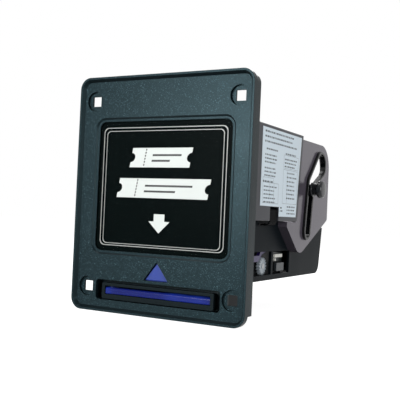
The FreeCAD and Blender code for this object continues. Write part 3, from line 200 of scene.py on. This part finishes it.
def placed(name, mesh, material, body, smooth=None):
    """Merges a mesh's doubles, turns its faces outwards, dresses it and lets it ride on its body.
    Smooth is the angle in degrees below which two faces are shaded as one surface."""
    work = bmesh.new()
    work.from_mesh(mesh)
    bmesh.ops.remove_doubles(work, verts=work.verts, dist=merge_gap)
    bmesh.ops.recalc_face_normals(work, faces=work.faces)
    work.to_mesh(mesh)
    work.free()
    mesh.materials.append(material)
    if smooth:
        mesh.polygons.foreach_set("use_smooth", np.ones(len(mesh.polygons), bool))
        mesh.set_sharp_from_angle(angle=math.radians(smooth))
    piece = bpy.data.objects.new(name, mesh)
    bpy.context.scene.collection.objects.link(piece)
    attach(piece, body)
    return piece


sharp_from, level_below = 35, math.radians(0.4)


def eased(node, name, edge, material, body="printer"):
    """A CAD node again, with each sharp edge rounded over a width in mm, in place of the node. Triangles
    in one plane become one face first, except round a hole, where such a face would fold over."""
    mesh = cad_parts[node].data.copy()
    mesh.materials.clear()
    work = bmesh.new()
    work.from_mesh(mesh)
    bmesh.ops.remove_doubles(work, verts=work.verts, dist=merge_gap)
    bmesh.ops.dissolve_limit(work, angle_limit=level_below, verts=work.verts, edges=work.edges)
    pierced = [face for face in work.faces
               if any(edge.calc_face_angle(1) < level_below for edge in face.edges)]
    bmesh.ops.triangulate(work, faces=pierced)
    work.to_mesh(mesh)
    work.free()
    piece = placed(name, mesh, material, body, smooth=sharp_from)
    rounding = piece.modifiers.new("rounding", "BEVEL")
    rounding.limit_method, rounding.angle_limit = "ANGLE", math.radians(sharp_from)
    rounding.width, rounding.segments, rounding.use_clamp_overlap = edge * mm, 3, True
    levelled = piece.modifiers.new("levelled_faces", "WEIGHTED_NORMAL")
    levelled.weight, levelled.keep_sharp = 100, False
    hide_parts(node)
    return piece


def sheen_of(level, tint="#ffffff"):
    """The strength and the tint of a plastic's mirror light. Level 0.5 is a plain smooth surface, and a
    grained or dusty one sends back less."""
    return {"Specular IOR Level": level, "Specular Tint": linear(tint)}


# Black ABS with eroded grain: dark, a little green, with pale flecks where the grain peaks. Its ground
# colour is painted shade: faces that look forwards get a lighter ground and the flecks, and the slopes and
# sides between them get a darker ground without flecks.
shaded_side_abs, lit_face_abs = "#0a1316", "#121e22"
bezel_abs = moulded("black_abs_grained", shaded_side_abs, "#587780", 0.34, 0.5, 0.06,
                    **sheen_of(0.14, "#c4f0fc"))
bezel_tree = bezel_abs.node_tree
# Painted shade: a mask from the direction each face looks, 1 forwards and 0 on slopes and sides, picks the
# lighter or the darker ground.
facing_out = add_node(bezel_tree, "ShaderNodeTexCoord").outputs["Normal"]
ahead = add_node(bezel_tree, "ShaderNodeSeparateXYZ", wires={0: facing_out}).outputs[1]
lit_face_mask = add_node(bezel_tree, "ShaderNodeMapRange", {"From Min": -0.93, "From Max": -0.99},
                  {"Value": ahead}).outputs[0]
flecked = bezel_tree.nodes["Mix"]
grain_peaks = flecked.inputs["Factor"].links[0].from_socket
masked = add_node(bezel_tree, "ShaderNodeMath", operation="MULTIPLY", wires={0: grain_peaks, 1: lit_face_mask})
bezel_tree.links.new(masked.outputs[0], flecked.inputs["Factor"])
painted_shading = add_node(bezel_tree, "ShaderNodeMix", {6: linear(shaded_side_abs), 7: linear(lit_face_abs)},
                  {"Factor": lit_face_mask}, data_type="RGBA")
bezel_tree.links.new(painted_shading.outputs[2], flecked.inputs[6])
eased("bezel", "bezel_moulding", 0.35, bezel_abs)


# ---------------------------------------------------------------- display window
# A clear acrylic pane lies over a black card, and a black frame with four screws clamps
# both. The pane is screen-printed with a fine double border, two tickets and an arrow.

def put(name, vertices, faces, material, body, smooth=None):
    """Makes a piece from points in mm and faces, and lets placed finish it."""
    mesh = bpy.data.meshes.new(name)
    mesh.from_pydata((np.asarray(vertices, float) * mm).tolist(), [], [list(face) for face in faces])
    return placed(name, mesh, material, body, smooth)


def rounded_path(width, height, radius, steps=8):
    """Points round a rectangle: each corner is a quarter circle of one radius, the sides are straight."""
    turn = np.linspace(0, math.pi / 2, steps + 1)
    across, up = width / 2 - radius, height / 2 - radius
    corners = [(across, up, 0), (-across, up, 1), (-across, -up, 2), (across, -up, 3)]
    return np.concatenate([np.stack([x + radius * np.cos(turn + quarter * math.pi / 2),
                                     z + radius * np.sin(turn + quarter * math.pi / 2)], 1)
                           for x, z, quarter in corners])


def ring_grid(outlines, closed=True):
    """Faces that join equal outlines one after another, and the last to the first if closed."""
    rings, count = outlines.shape[:2]
    ring, spot = np.meshgrid(np.arange(rings if closed else rings - 1), np.arange(count), indexing="ij")
    after, beside = (ring + 1) % rings, (spot + 1) % count
    corners = [ring * count + spot, ring * count + beside, after * count + beside, after * count + spot]
    return np.stack(corners, -1).reshape(-1, 4)


ink = 0.04


def border(name, width, height, radius, line, front, centre, material):
    """A printed line round a rectangle: the same outline at two offsets, front and back, joined."""
    inner, outer = (rounded_path(width + grow, height + grow, radius) for grow in (-line, line))
    rings = ((inner, front), (outer, front), (outer, front - ink), (inner, front - ink))
    outlines = np.stack([np.stack([ring[:, 0], np.full(len(ring), depth), ring[:, 1] + centre], 1)
                         for ring, depth in rings])
    return put(name, outlines.reshape(-1, 3), ring_grid(outlines), material, "printer")


def printed(name, shapes, front, material, thickness=ink, plane="Y"):
    """Flat printed shapes: each outline, given as points in mm, becomes a thin closed plate that
    stands proud of a surface at front. Plane Y lies on the bezel, plane X on the right wall."""
    vertices, faces, start = [], [], 0
    for shape in shapes:
        across, up = np.asarray(shape, float).T
        count = len(across)
        for depth in (0.0, thickness):
            level = np.full(count, front - depth if plane == "Y" else front + depth)
            vertices.append(np.stack([across, level, up] if plane == "Y" else [level, across, up], 1))
        near = start + np.arange(count)
        beside = np.roll(near, -1)
        faces += [near.tolist(), (near + count)[::-1].tolist()]
        faces += np.stack([near, beside, beside + count, near + count], 1).tolist()
        start += 2 * count
    return put(name, np.concatenate(vertices), faces, material, "printer")


lean = 0.18


def slanted(left, base, rise, wide, high):
    """Outline of a bar on a leaning ticket. Left is where it would start on the ticket's lower edge,
    base is that edge, and rise is how far the bar lies over it."""
    start, low, top = left + lean * rise, base + rise, left + lean * (rise + high)
    return [(start, low), (start + wide, low), (top + wide, low + high), (top, low + high)]


def ticket(left, base, wide, high, bite=0.24):
    """Outline of a leaning ticket: a bar with a round bite out of each short side. The bite is a half
    circle whose radius is a share of the height."""
    turn = np.linspace(-math.pi / 2, math.pi / 2, 13)
    right, middle, top, radius = left + wide, base + high / 2, base + high, high * bite
    right_bite = np.stack([right - radius * np.cos(turn), middle + radius * np.sin(turn)], 1)
    left_bite = np.stack([left + radius * np.cos(turn), middle - radius * np.sin(turn)], 1)
    outline = np.concatenate([[(left, base), (right, base)], right_bite,
                              [(right, top), (left, top)], left_bite])
    outline[:, 0] += lean * (outline[:, 1] - base)
    return outline


pane_low, pane_high = (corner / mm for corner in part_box("window_pane"))
print_gap = 0.01
print_front = pane_low[1] - print_gap

# Cast acrylic: clear and smooth, so it shows the room as a faint mirror over the card.
pane_acrylic, pane_tree = started("clear_acrylic", "#ffffff", 0.04, 1.49)[:2]
clear = add_node(pane_tree, "ShaderNodeBsdfTransparent", {"Color": linear("#f4faf8")})
mirror = add_node(pane_tree, "ShaderNodeBsdfGlossy", {"Roughness": 0.3})
facing = add_node(pane_tree, "ShaderNodeFresnel", {"IOR": 1.03})
glass = add_node(pane_tree, "ShaderNodeMixShader",
                 wires={0: facing.outputs[0], 1: clear.outputs[0], 2: mirror.outputs[0]})
pane_tree.links.new(glass.outputs[0], pane_tree.nodes["Material Output"].inputs["Surface"])
glazing = eased("window_pane", "window_glazing", 0.3, pane_acrylic)
# Its back is drawn forwards by a hair, so that a film of air parts it from the card.
air_film = 0.03
points = np.zeros(len(glazing.data.vertices) * 3)
glazing.data.vertices.foreach_get("co", points)
depth = points[1::3]
depth -= np.where(depth > (pane_high[1] - air_film) * mm, air_film * mm, 0)
glazing.data.vertices.foreach_set("co", points)

# Coated card, printed solid black: even and slightly satin.
card_ink = started("black_coated_card", "#080d0e", 0.6, **sheen_of(0.01))[0]
eased("display_card", "printed_card", 0.1, card_ink)

# Silver screen ink is a fine metal powder, and white ink is opaque and matt.
silver_ink = moulded("silver_screen_ink", "#8f9290", "#a4a6a2", 0.4, 0.2, 0.002)
white_ink = moulded("white_screen_ink", "#c8cecb", "#d4d8d5", 0.5, 0.3, 0.002)
dark_ink = moulded("black_screen_ink", "#0a1010", "#121919", 0.5, 0.3, 0.002)
border("border_outer", 94.2, 79.2, 3.6, 0.55, print_front, 5.1, silver_ink)
border("border_inner", 89.4, 75.6, 2.8, 0.45, print_front, 4.7, silver_ink)
upper_base, lower_base, ticket_height = 18.2, -2.0, 12.9
tickets = [ticket(-25.5, upper_base, 46.0, ticket_height), ticket(-35.0, lower_base, 69.5, ticket_height)]
down_arrow = [(-4.6, -12.4), (3.6, -12.4), (3.6, -17.2), (7.6, -17.2),
              (-0.5, -24.9), (-8.6, -17.2), (-4.6, -17.2)]
printed("ticket_signs", tickets + [down_arrow], print_front, white_ink)
# Over the white, each ticket has a dashed tear line and two bars in black.
dashes = [slanted(left, base, 1.1 + 2.0 * step, 0.9, 1.2)
          for left, base in ((-15.0, upper_base), (-21.0, lower_base)) for step in range(6)]
bars = [slanted(left, base, rise, wide, 1.3) for left, base, rise, wide in
        ((-9.0, upper_base, 7.4, 22.0), (-9.0, upper_base, 3.7, 14.0),
         (-14.0, lower_base, 7.4, 36.0), (-14.0, lower_base, 3.7, 24.0))]
ink_gap = 0.005
printed("ticket_sign_lines", dashes + bars, print_front - ink - ink_gap, dark_ink)


# ---------------------------------------------------------------- plain fittings behind the face
# The clamp frame and the guides are glass-filled plastic from plain steel moulds, so they
# are smoother than the face. Boards are laminate with copper tracks under a solder mask.

# Glass-filled nylon: near black, satin, with very fine streaks of fibre.
filled_nylon = moulded("black_filled_nylon", "#070a0c", "#0e1316", 0.42, 0.35, 0.012, **sheen_of(0.06))
for node, edge in (("card_retainer", 0.3), ("upper_chute", 0.3), ("lower_chute", 0.5),
                   ("ticket_sensor", 0.3), ("button_base", 0.12)):
    eased(node, node + "_moulding", edge, filled_nylon)


def laminate(name, across, mask, copper):
    """Printed circuit board: solder mask over copper tracks. The tracks are bands about 1 mm wide that
    follow a warped grid, drawn coarser than real ones so that they show."""
    material, tree, shader = started(name, mask, 0.32)
    place = add_node(tree, "ShaderNodeTexCoord").outputs["Object"]
    steps = add_node(tree, "ShaderNodeTexVoronoi", {"Scale": 1 / (5 * mm)}, {"Vector": place},
                     feature="F1", distance="MANHATTAN")
    tracks = add_node(tree, "ShaderNodeTexWave", {"Scale": 0.4 / (2.2 * mm), "Distortion": 0.0},
                      {"Vector": steps.outputs["Position"]}, bands_direction=across)
    fine = add_node(tree, "ShaderNodeTexBrick",
                    {"Scale": 1 / (3 * mm), "Mortar Size": 0.09, "Mortar": linear(copper),
                     "Color1": linear(mask), "Color2": linear(mask)}, {"Vector": place})
    shade = add_node(tree, "ShaderNodeMix", {7: linear(copper)},
                     {"Factor": tracks.outputs["Fac"], 6: fine.outputs["Color"]}, data_type="RGBA")
    tree.links.new(shade.outputs[2], shader.inputs["Base Color"])
    return material


def dress(material, *nodes):
    """Gives CAD nodes a material in place of their packed one."""
    for node in nodes:
        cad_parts[node].data.materials.clear()
        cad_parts[node].data.materials.append(material)


# The lamp and control boards have a green mask, and the service board a black one.
board_laminate = laminate("green_laminate", "X", "#0c3a21", "#185a34")
dress(board_laminate, "lamp_board", "mouth_lamp_strip", "control_board")
dress(laminate("black_laminate", "Z", "#0a0e10", "#141c1c"), "switch_board")

# White lamp bodies and sockets: glossy nylon, a little warm.
white_nylon = moulded("white_nylon", "#dcdcd4", "#e8e8e2", 0.35, 0.4, 0.004)
dress(white_nylon, "lamps", "cable_header", "switch_board_parts")


# ---------------------------------------------------------------- screws
# Zinc-plated pan-head screws, cold-formed: a domed head with a cross recess. The lug
# screws hold the chassis to the bezel and the small ones hold the clamp frame.

def metal(name, colour, roughness, streak, axis):
    """Brushed or ground metal: streaks of one spacing in mm, drawn out twenty times along an axis,
    vary the roughness and raise the surface slightly."""
    material, tree, shader = started(name, colour, roughness, metallic=1.0)
    place = add_node(tree, "ShaderNodeTexCoord").outputs["Object"]
    stretch = [1.0 / (streak * mm)] * 3
    stretch["XYZ".index(axis)] /= 20
    drawn = add_node(tree, "ShaderNodeMapping", {"Scale": stretch}, {"Vector": place})
    streaks = add_node(tree, "ShaderNodeTexNoise", {"Scale": 1.0, "Detail": 2.0},
                       {"Vector": drawn.outputs[0]}).outputs["Fac"]
    gloss = add_node(tree, "ShaderNodeMapRange", {"To Min": roughness - 0.1, "To Max": roughness + 0.12},
                     {"Value": streaks})
    bump = add_node(tree, "ShaderNodeBump", {"Strength": 0.6, "Distance": 0.01 * mm}, {"Height": streaks})
    tree.links.new(gloss.outputs[0], shader.inputs["Roughness"])
    tree.links.new(bump.outputs[0], shader.inputs["Normal"])
    return material


def pan_heads(name, node, radius, height, shank, material):
    """Four screws along Y at the corners of a node's box. Each is a grid of rings by angles: the shank,
    then a dome whose height falls with the square of the distance from the middle, pressed in where it
    is near the arms of a cross."""
    low, high = (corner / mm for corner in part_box(node))
    seat, middle, reach_up = high[1] - height, (low[2] + high[2]) / 2, (high[2] - low[2]) / 2 - radius
    turn = np.linspace(0, 2 * math.pi, 48, endpoint=False)
    share = np.array([0.9, 0.75, 0.6, 0.45, 0.3, 0.15, 0.0])
    stem = [(0.0, low[1]), (shank, low[1]), (shank, seat), (radius, seat), (radius, seat + height * 0.35)]
    dome = np.stack([radius * share, seat + height * (1 - 0.65 * share ** 2)], 1)
    out, along = np.concatenate([stem, dome]).T[:, :, None]
    grid = np.stack([out * np.cos(turn), along + 0 * turn, out * np.sin(turn)], -1)
    near_arm = np.minimum(abs(grid[..., 0]), abs(grid[..., 2])) < radius * 0.16
    inside = np.hypot(grid[..., 0], grid[..., 2]) < radius * 0.62
    on_dome = (np.arange(len(grid)) >= len(stem))[:, None]
    grid[..., 1] -= np.where(on_dome & near_arm & inside, height * 0.55, 0)
    places = [(side * (high[0] - radius), 0, middle + end * reach_up)
              for side in (1, -1) for end in (1, -1)]
    vertices = np.concatenate([grid.reshape(-1, 3) + place for place in places])
    one = ring_grid(grid, closed=False)
    faces = np.concatenate([one + number * out.size * turn.size for number in range(len(places))])
    piece = put(name, vertices, faces, material, "printer", smooth=40)
    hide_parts(node)


# Zinc plate: bright and slightly blue, with fine drawing marks.
zinc = metal("zinc_plated_steel", "#b9bdc0", 0.32, 0.5, "X")
pan_heads("lug_screw_set", "lug_screws", 2.7, 1.6, 1.4, zinc)
pan_heads("retainer_screw_set", "retainer_screws", 1.89, 1.6, 0.98, zinc)


# ---------------------------------------------------------------- arrow light and ticket mouth
# Blue acrylic light guides: a triangle over the mouth, and a bar with a rounded front that the ticket
# slides out over. Small lamps stand behind them, and the glow in both is painted light.

def light_guide(name, colour, glow_colour, strength, painted_glow_spots):
    """Tinted acrylic with painted glow: emission spots stand for lamp light inside it and for highlights on
    its polished faces. Each spot is a place along X and the distance over which its glow falls to nothing,
    both in mm, and the glows add up."""
    material, tree, shader = started(name, colour, 0.22, 1.49, **{"Subsurface Weight": 0.25},
                                     **sheen_of(0.15))
    shader.inputs["Subsurface Radius"].default_value = (1 * mm, 1 * mm, 4 * mm)
    place = add_node(tree, "ShaderNodeTexCoord").outputs["Object"]
    along = add_node(tree, "ShaderNodeSeparateXYZ", wires={0: place}).outputs[0]
    total = None
    for spot, width in painted_glow_spots:
        away = add_node(tree, "ShaderNodeMath", {1: spot * mm}, {0: along}, operation="SUBTRACT")
        away = add_node(tree, "ShaderNodeMath", wires={0: away.outputs[0]}, operation="ABSOLUTE")
        spot_glow = add_node(tree, "ShaderNodeMapRange", {"From Max": width * mm, "To Min": 1.0, "To Max": 0.0},
                       {"Value": away.outputs[0]}, interpolation_type="SMOOTHSTEP").outputs[0]
        total = spot_glow if total is None else add_node(tree, "ShaderNodeMath", wires={0: total, 1: spot_glow},
                                                   operation="ADD").outputs[0]
    power = add_node(tree, "ShaderNodeMath", {1: strength}, {0: total}, operation="MULTIPLY")
    shader.inputs["Emission Color"].default_value = linear(glow_colour)
    tree.links.new(power.outputs[0], shader.inputs["Emission Strength"])
    ripple = add_node(tree, "ShaderNodeTexNoise", {"Scale": 1 / (6 * mm)}, {"Vector": place})
    bump = add_node(tree, "ShaderNodeBump", {"Strength": 0.5, "Distance": 0.05 * mm},
                    {"Height": ripple.outputs["Fac"]})
    tree.links.new(bump.outputs[0], shader.inputs["Normal"])
    return material


# Acrylic: dyed blue right through and polished. Its paler places are painted glow, standing for lamp light
# inside and for highlights.
arrow_acrylic = light_guide("blue_acrylic_arrow", "#32427f", "#4a5fd0", 0.18, ((0.0, 14.0),))
eased("arrow_lens", "arrow_light", 0.4, arrow_acrylic)
# Painted glow and highlight: three pale spots along the bar, of which the one at its left end stands for a
# glint.
bar_acrylic = light_guide("blue_acrylic_bar", "#101c66", "#2c50d0", 0.14,
                          ((-39.0, 7.0), (14.0, 13.0), (30.0, 15.0)))
eased("mouth_lens", "mouth_light_bar", 0.4, bar_acrylic)
# The surround is ABS without the grain: black and satin.
frame_abs = moulded("black_abs_smooth", "#0d1518", "#182125", 0.34, 0.6, 0.01, **sheen_of(0.08, "#e0f2f6"))
eased("mouth_frame", "mouth_surround", 0.5, frame_abs)


# ---------------------------------------------------------------- chassis and top cover
# One deep tray moulding carries everything, open at the top behind the roll. A plain
# cover snaps over its front part, and a socket for power and data is let in at the left.

# Filled nylon from a worn mould: black, with hardly any gloss.
chassis_nylon = moulded("black_chassis_nylon", "#0b1115", "#161d22", 0.4, 0.5, 0.015,
                        **sheen_of(0.03, "#dfeaf0"))
eased("chassis", "chassis_moulding", 0.6, chassis_nylon)
eased("top_cover", "cover_moulding", 0.4, chassis_nylon)
eased("power_data_socket", "socket_moulding", 0.3, frame_abs)
# Plated brass pins: yellow, bright and smooth.
pin_brass = metal("plated_brass", "#c9ab62", 0.25, 0.4, "X")
dress(pin_brass, "socket_pins", "motor_pinion")


# ---------------------------------------------------------------- control housing
# A shallow ABS box screwed to the right wall covers the control board. Its face carries
# a pale paper label with rows of grey marks, and a flat ribbon leaves by a notch.

# Satin ABS with a little mauve in its grey, from a plain mould.
housing_abs = moulded("grey_black_abs", "#22252a", "#2d3036", 0.38, 0.5, 0.012, **sheen_of(0.3, "#e6e2f0"))
eased("control_housing", "housing_moulding", 0.6, housing_abs)
eased("control_backplate", "backplate_moulding", 0.2, housing_abs)
dress(filled_nylon, "board_parts")

# Coated label stock: pale blue-grey, matt, with the faint cloud of paper fibre.
label_paper = moulded("label_paper", "#dce9f2", "#e6f0f6", 0.6, 0.8, 0.004)
label_ink = moulded("grey_label_ink", "#3f484f", "#4b545b", 0.6, 0.3, 0.002)
dress(label_paper, "rating_label")
label_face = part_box("rating_label")[1][0] / mm + ink_gap
rng = np.random.default_rng(7)


def word_rows(left, right, top, rows, pitch, tall, gap=1.1):
    """Rows of short grey marks of random length with gaps between them, like lines of fine print."""
    marks = []
    for row in range(rows):
        low, at = top - row * pitch - tall, left
        end = right - rng.uniform(0, 0.25) * (right - left)
        while at < end:
            long = rng.uniform(1.0, 3.2)
            stop = min(at + long, end)
            marks.append([(at, low), (stop, low), (stop, low + tall), (at, low + tall)])
            at += long + gap
    return marks


def table_lines(left, right, low, high, columns, rows, line=0.16):
    """The ruled lines of a table, as thin bars: columns and rows are shares of its width and height."""
    bars = [(left + share * (right - left), low, line, high - low) for share in columns]
    bars += [(left, low + share * (high - low), right - left, line) for share in rows]
    return [[(u, v), (u + du, v), (u + du, v + dv), (u, v + dv)] for u, v, du, dv in bars]


# Each block of print is its left, right and top edge, its rows, their pitch and their height: first
# the heading, then the left column, the right column and the two notes under them.
print_blocks = ((37, 98, 47.2, 3, 3.4, 1.2),
                (40, 60, 35.5, 1, 2, 1.1), (38, 62, 31.5, 3, 2.5, 1.0), (38, 60, 22.5, 3, 2.5, 1.0),
                (36, 54, 13.5, 1, 2, 1.1), (38, 60, 10.0, 5, 2.6, 0.9),
                (74, 98, 35.0, 1, 2, 1.1), (73, 97, 31.0, 3, 2.5, 1.0), (78, 97, 21.5, 7, 3.0, 1.0),
                (67.5, 72, -3.6, 2, 2.2, 1.0), (80, 97, -2.6, 3, 2.4, 1.0))
tables = ((36, 63, -1.6, 12.2, (0, 0.42, 0.7, 1), (0, 1)), (36, 54, 12.2, 15.6, (0, 1), (1,)),
          (71, 99, 24.0, 33.4, (0, 1), (0, 1)), (71, 98, -1.0, 23.0, (0, 0.28, 1), (0, 1)))
marks = [mark for block in print_blocks for mark in word_rows(*block)]
marks += [line for table in tables for line in table_lines(*table)]
printed("label_marks", marks, label_face, label_ink, thickness=ink / 2, plane="X")


# ---------------------------------------------------------------- ribbon
# A flat black ribbon of twelve wires moulded side by side. It leaves the board, turns
# down outside the notch and goes in through the slit in the chassis wall.

cable_low, cable_high = (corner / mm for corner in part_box("flat_cable"))


def arc_corner(corner, before, after, radius, steps=6):
    """Points of a quarter turn of one radius at a corner between two square directions."""
    corner, before, after = (np.asarray(value, float) for value in (corner, before, after))
    centre = corner - before * radius + after * radius
    turn = np.linspace(0, math.pi / 2, steps + 1)[:, None]
    return centre + before * radius * np.sin(turn) - after * radius * np.cos(turn)


down, outwards, inwards = (0, -1), (1, 0), (-1, 0)
wires, half_thick = 12, 0.4
drop_across, lip_up, bend, last_bend = cable_low[0] + 7.0, -5.6, 0.9, 2.6
leg, foot = cable_high[0] - half_thick, cable_low[2] + half_thick
route = np.concatenate([[(drop_across, cable_high[2])],
                        arc_corner((drop_across, lip_up), down, outwards, bend),
                        arc_corner((leg, lip_up), outwards, down, bend),
                        arc_corner((leg, foot), down, inwards, last_bend),
                        [(cable_low[0], foot)]])


def ribbed_section(wide, thick, count):
    """Section of a ribbon of moulded wires: its half thickness follows the size of a sine, so that each
    wire is a low ridge on both faces, and its two edges are closed."""
    across = np.linspace(0, 1, count * 6 + 1)
    half = thick * (0.72 + 0.28 * abs(np.sin(across * count * math.pi)))
    upper = np.stack([(across - 0.5) * wide, half], 1)
    return np.concatenate([upper, (upper * (1, -1))[::-1]])


section = ribbed_section(cable_high[1] - cable_low[1], half_thick, wires)
onwards = np.gradient(route, axis=0)
onwards /= np.linalg.norm(onwards, axis=1)[:, None]
sideways = np.stack([onwards[:, 1], -onwards[:, 0]], 1)
grid = np.zeros((len(route), len(section), 3))
grid[..., (0, 2)] = route[:, None, :] + sideways[:, None, :] * section[None, :, 1:]
grid[..., 1] = (cable_low[1] + cable_high[1]) / 2 + section[None, :, 0]
first_end = np.arange(len(section))
last_end = (grid.shape[0] - 1) * len(section) + first_end[::-1]
faces = ring_grid(grid, closed=False).tolist() + [first_end.tolist(), last_end.tolist()]
# Soft PVC: black and even, with a dull shine along the wires.
ribbon_pvc = moulded("black_ribbon_pvc", "#050608", "#0a0c0e", 0.4, 0.4, 0.002, **sheen_of(0.02))
ribbon = put("ribbon", grid.reshape(-1, 3), faces, ribbon_pvc, "printer", smooth=50)
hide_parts("flat_cable")


# ---------------------------------------------------------------- roll holder
# Two polished cheeks stand behind the housing, each with a glossy keyhole track for the
# spindle. A half-round tray lies under the roll, and a steel guide leads paper forwards.

# Polished ABS: the same mauve-black, smooth enough to mirror what stands beside it.
cheek_abs = moulded("grey_black_abs_polished", "#514c56", "#57525c", 0.18, 0.5, 0.004,
                    **sheen_of(0.4, "#e9e2f0"))
for node, edge in (("roll_cheek_right", 0.5), ("roll_cheek_left", 0.5), ("roll_bucket", 0.3)):
    eased(node, node + "_moulding", edge, cheek_abs)
# Acetal tracks wear smooth and glossy, and so do the ends of the spindle.
glossy_acetal = moulded("black_acetal_glossy", "#050708", "#0b0e10", 0.2, 1.2, 0.004, **sheen_of(0.3))
eased("roll_tracks", "keyhole_tracks", 0.5, glossy_acetal)
# The guide is brushed stainless steel, with fine marks across the paper's way.
bright_steel = metal("brushed_stainless_steel", "#a9abad", 0.3, 0.25, "X")
dress(bright_steel, "entry_guide")


# ---------------------------------------------------------------- spindle
# A steel rod with a turned acetal end on each side: a flange inside the track, a neck in
# its slot, and a domed disc outside. A ribbed sleeve for the paper core turns on it.

def turned(name, node, profiles, centre, material, steps=72, smooth=28):
    """Solids turned about an axis along X, in place of a node on the spindle: each profile is a list of
    (x, radius) from pole to pole, and the surface is that list by angle. A radius of zero closes a pole."""
    turn = np.linspace(0, 2 * math.pi, steps, endpoint=False)
    vertices, faces, start = [], [], 0
    for profile in profiles:
        x, radius = np.array(profile, float).T[:, :, None]
        grid = np.stack([x + 0 * turn, centre[0] + radius * np.cos(turn),
                         centre[1] + radius * np.sin(turn)], -1)
        vertices.append(grid.reshape(-1, 3))
        faces.append(ring_grid(grid, closed=False) + start)
        start += len(vertices[-1])
    piece = put(name, np.concatenate(vertices), np.concatenate(faces), material, "spindle", smooth)
    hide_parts(node)


def rounded_end(x, radius, edge, inwards, steps=5):
    """Profile points of a flat end with a quarter-round edge, from the axis out to the radius. Inwards is
    the direction of the material along X, 1 or -1."""
    turn = np.linspace(math.pi / 2, 0, steps)
    bend = np.stack([x + inwards * edge * (1 - np.sin(turn)), radius - edge + edge * np.cos(turn)], 1)
    return np.concatenate([[(x, 0)], bend])


def rod_profile(start, end, radius, edge):
    """Profile of a plain rod with rounded ends."""
    return np.concatenate([rounded_end(start, radius, edge, 1), rounded_end(end, radius, edge, -1)[::-1]])


knobs_low, knobs_high = (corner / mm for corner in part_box("spindle_knobs"))
roll_centre = tuple((knobs_low[axis] + knobs_high[axis]) / 2 for axis in (1, 2))
knob_end, knob_radius = knobs_high[0], 6.5
track_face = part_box("roll_tracks")[1][0] / mm
# The end is turned in three parts: the flange and the disc, as distances in from the outer end with a
# radius each, and between them the collars, as distances out from the face of the track.
flange = [(18.0, 0), (18.0, 6.9), (17.7, 7.2), (15.7, 7.2), (15.4, 6.9), (15.4, 4.2)]
collars = [(0.4, 4.2), (0.4, 5.6), (0.6, 5.8), (1.6, 5.8), (1.8, 5.6), (1.8, 4.3), (2.8, 4.3),
           (2.8, 4.75), (2.95, 4.9), (3.45, 4.9), (3.6, 4.75), (3.6, 4.3)]
disc = [(4.6, 4.3), (4.6, knob_radius - 0.5), (4.1, knob_radius), (1.5, knob_radius),
        (0.9, knob_radius - 0.18), (0.45, knob_radius - 0.6), (0.3, knob_radius - 1.1),
        (0.22, 4.4), (0.08, 3.0), (0, 1.0), (0, 0)]
knob = np.concatenate([np.array(flange) * (-1, 1) + (knob_end, 0), np.array(collars) + (track_face, 0),
                       np.array(disc) * (-1, 1) + (knob_end, 0)])
mirrored = knob[::-1] * (-1, 1)
# Acetal from bar, turned and polished: grey-black and glossy.
knob_acetal = moulded("grey_black_acetal", "#15191d", "#1d2226", 0.2, 1.0, 0.004, **sheen_of(0.35))
turned("spindle_ends", "spindle_knobs", [knob, mirrored], roll_centre, knob_acetal)
rod_low, rod_high = (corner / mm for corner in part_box("roll_spindle"))
turned("spindle_rod", "roll_spindle", [rod_profile(rod_low[0], rod_high[0], 3.0, 0.3)], roll_centre,
       bright_steel)
dress(glossy_acetal, "core_collars")
eased("core_sleeve", "paper_core_sleeve", 0.3, white_nylon, "core")


# ---------------------------------------------------------------- print mechanism
# A folded steel frame carries the rubber platen, its gears, the print head and its lever.
# They can be seen through the two service ports in the right wall and from behind.

# The frame is given a near-black zinc finish so that little light comes back out of the ports: its darkness
# is painted shade for the insides of the two service ports.
dress(metal("port_shade_black_steel", "#17191b", 0.5, 0.25, "X"), "mechanism_frame")
dress(bright_steel, "idler_pin", "head_pivot_pin", "platen_shaft", "cutter_frame",
      "feed_motor", "cutter_motor")
# Platen rubber: dark, ground matt, with a slight bloom.
platen_rubber = moulded("platen_rubber", "#1b1c1d", "#2a2b2c", 0.75, 0.25, 0.01)
dress(platen_rubber, "platen_roller")
# Gears are moulded acetal: cool white and satin.
acetal_white = moulded("white_acetal", "#9ea8b0", "#aab4bb", 0.3, 0.5, 0.003)
dress(acetal_white, "platen_gear", "idler_gear", "hand_wheel", "cutter_pinion", "blade_rack")
# Bushes are oiled bronze, the blades ground steel, and the heat sink is extruded.
dress(metal("sintered_bronze", "#a5713f", 0.45, 0.3, "X"), "platen_bushes")
dress(metal("ground_blade_steel", "#9a9c9e", 0.22, 0.2, "X"), "fixed_blade", "moving_blade")
dress(metal("extruded_aluminium", "#b4b6b8", 0.4, 0.3, "X"), "head_heat_sink")
# Alumina board of the print head: off-white, fired, slightly glossy.
dress(moulded("ceramic_board", "#cfcabd", "#dbd7cc", 0.4, 0.3, 0.003), "print_head")
# Violet lever and grey key: plain coloured nylon.
dress(moulded("violet_nylon", "#24184e", "#2c2058", 0.35, 0.5, 0.004), "head_release_lever")
key_nylon = moulded("grey_nylon", "#2c3236", "#353b40", 0.4, 0.5, 0.004)
eased("feed_button", "feed_key", 0.3, key_nylon, "feed_key")
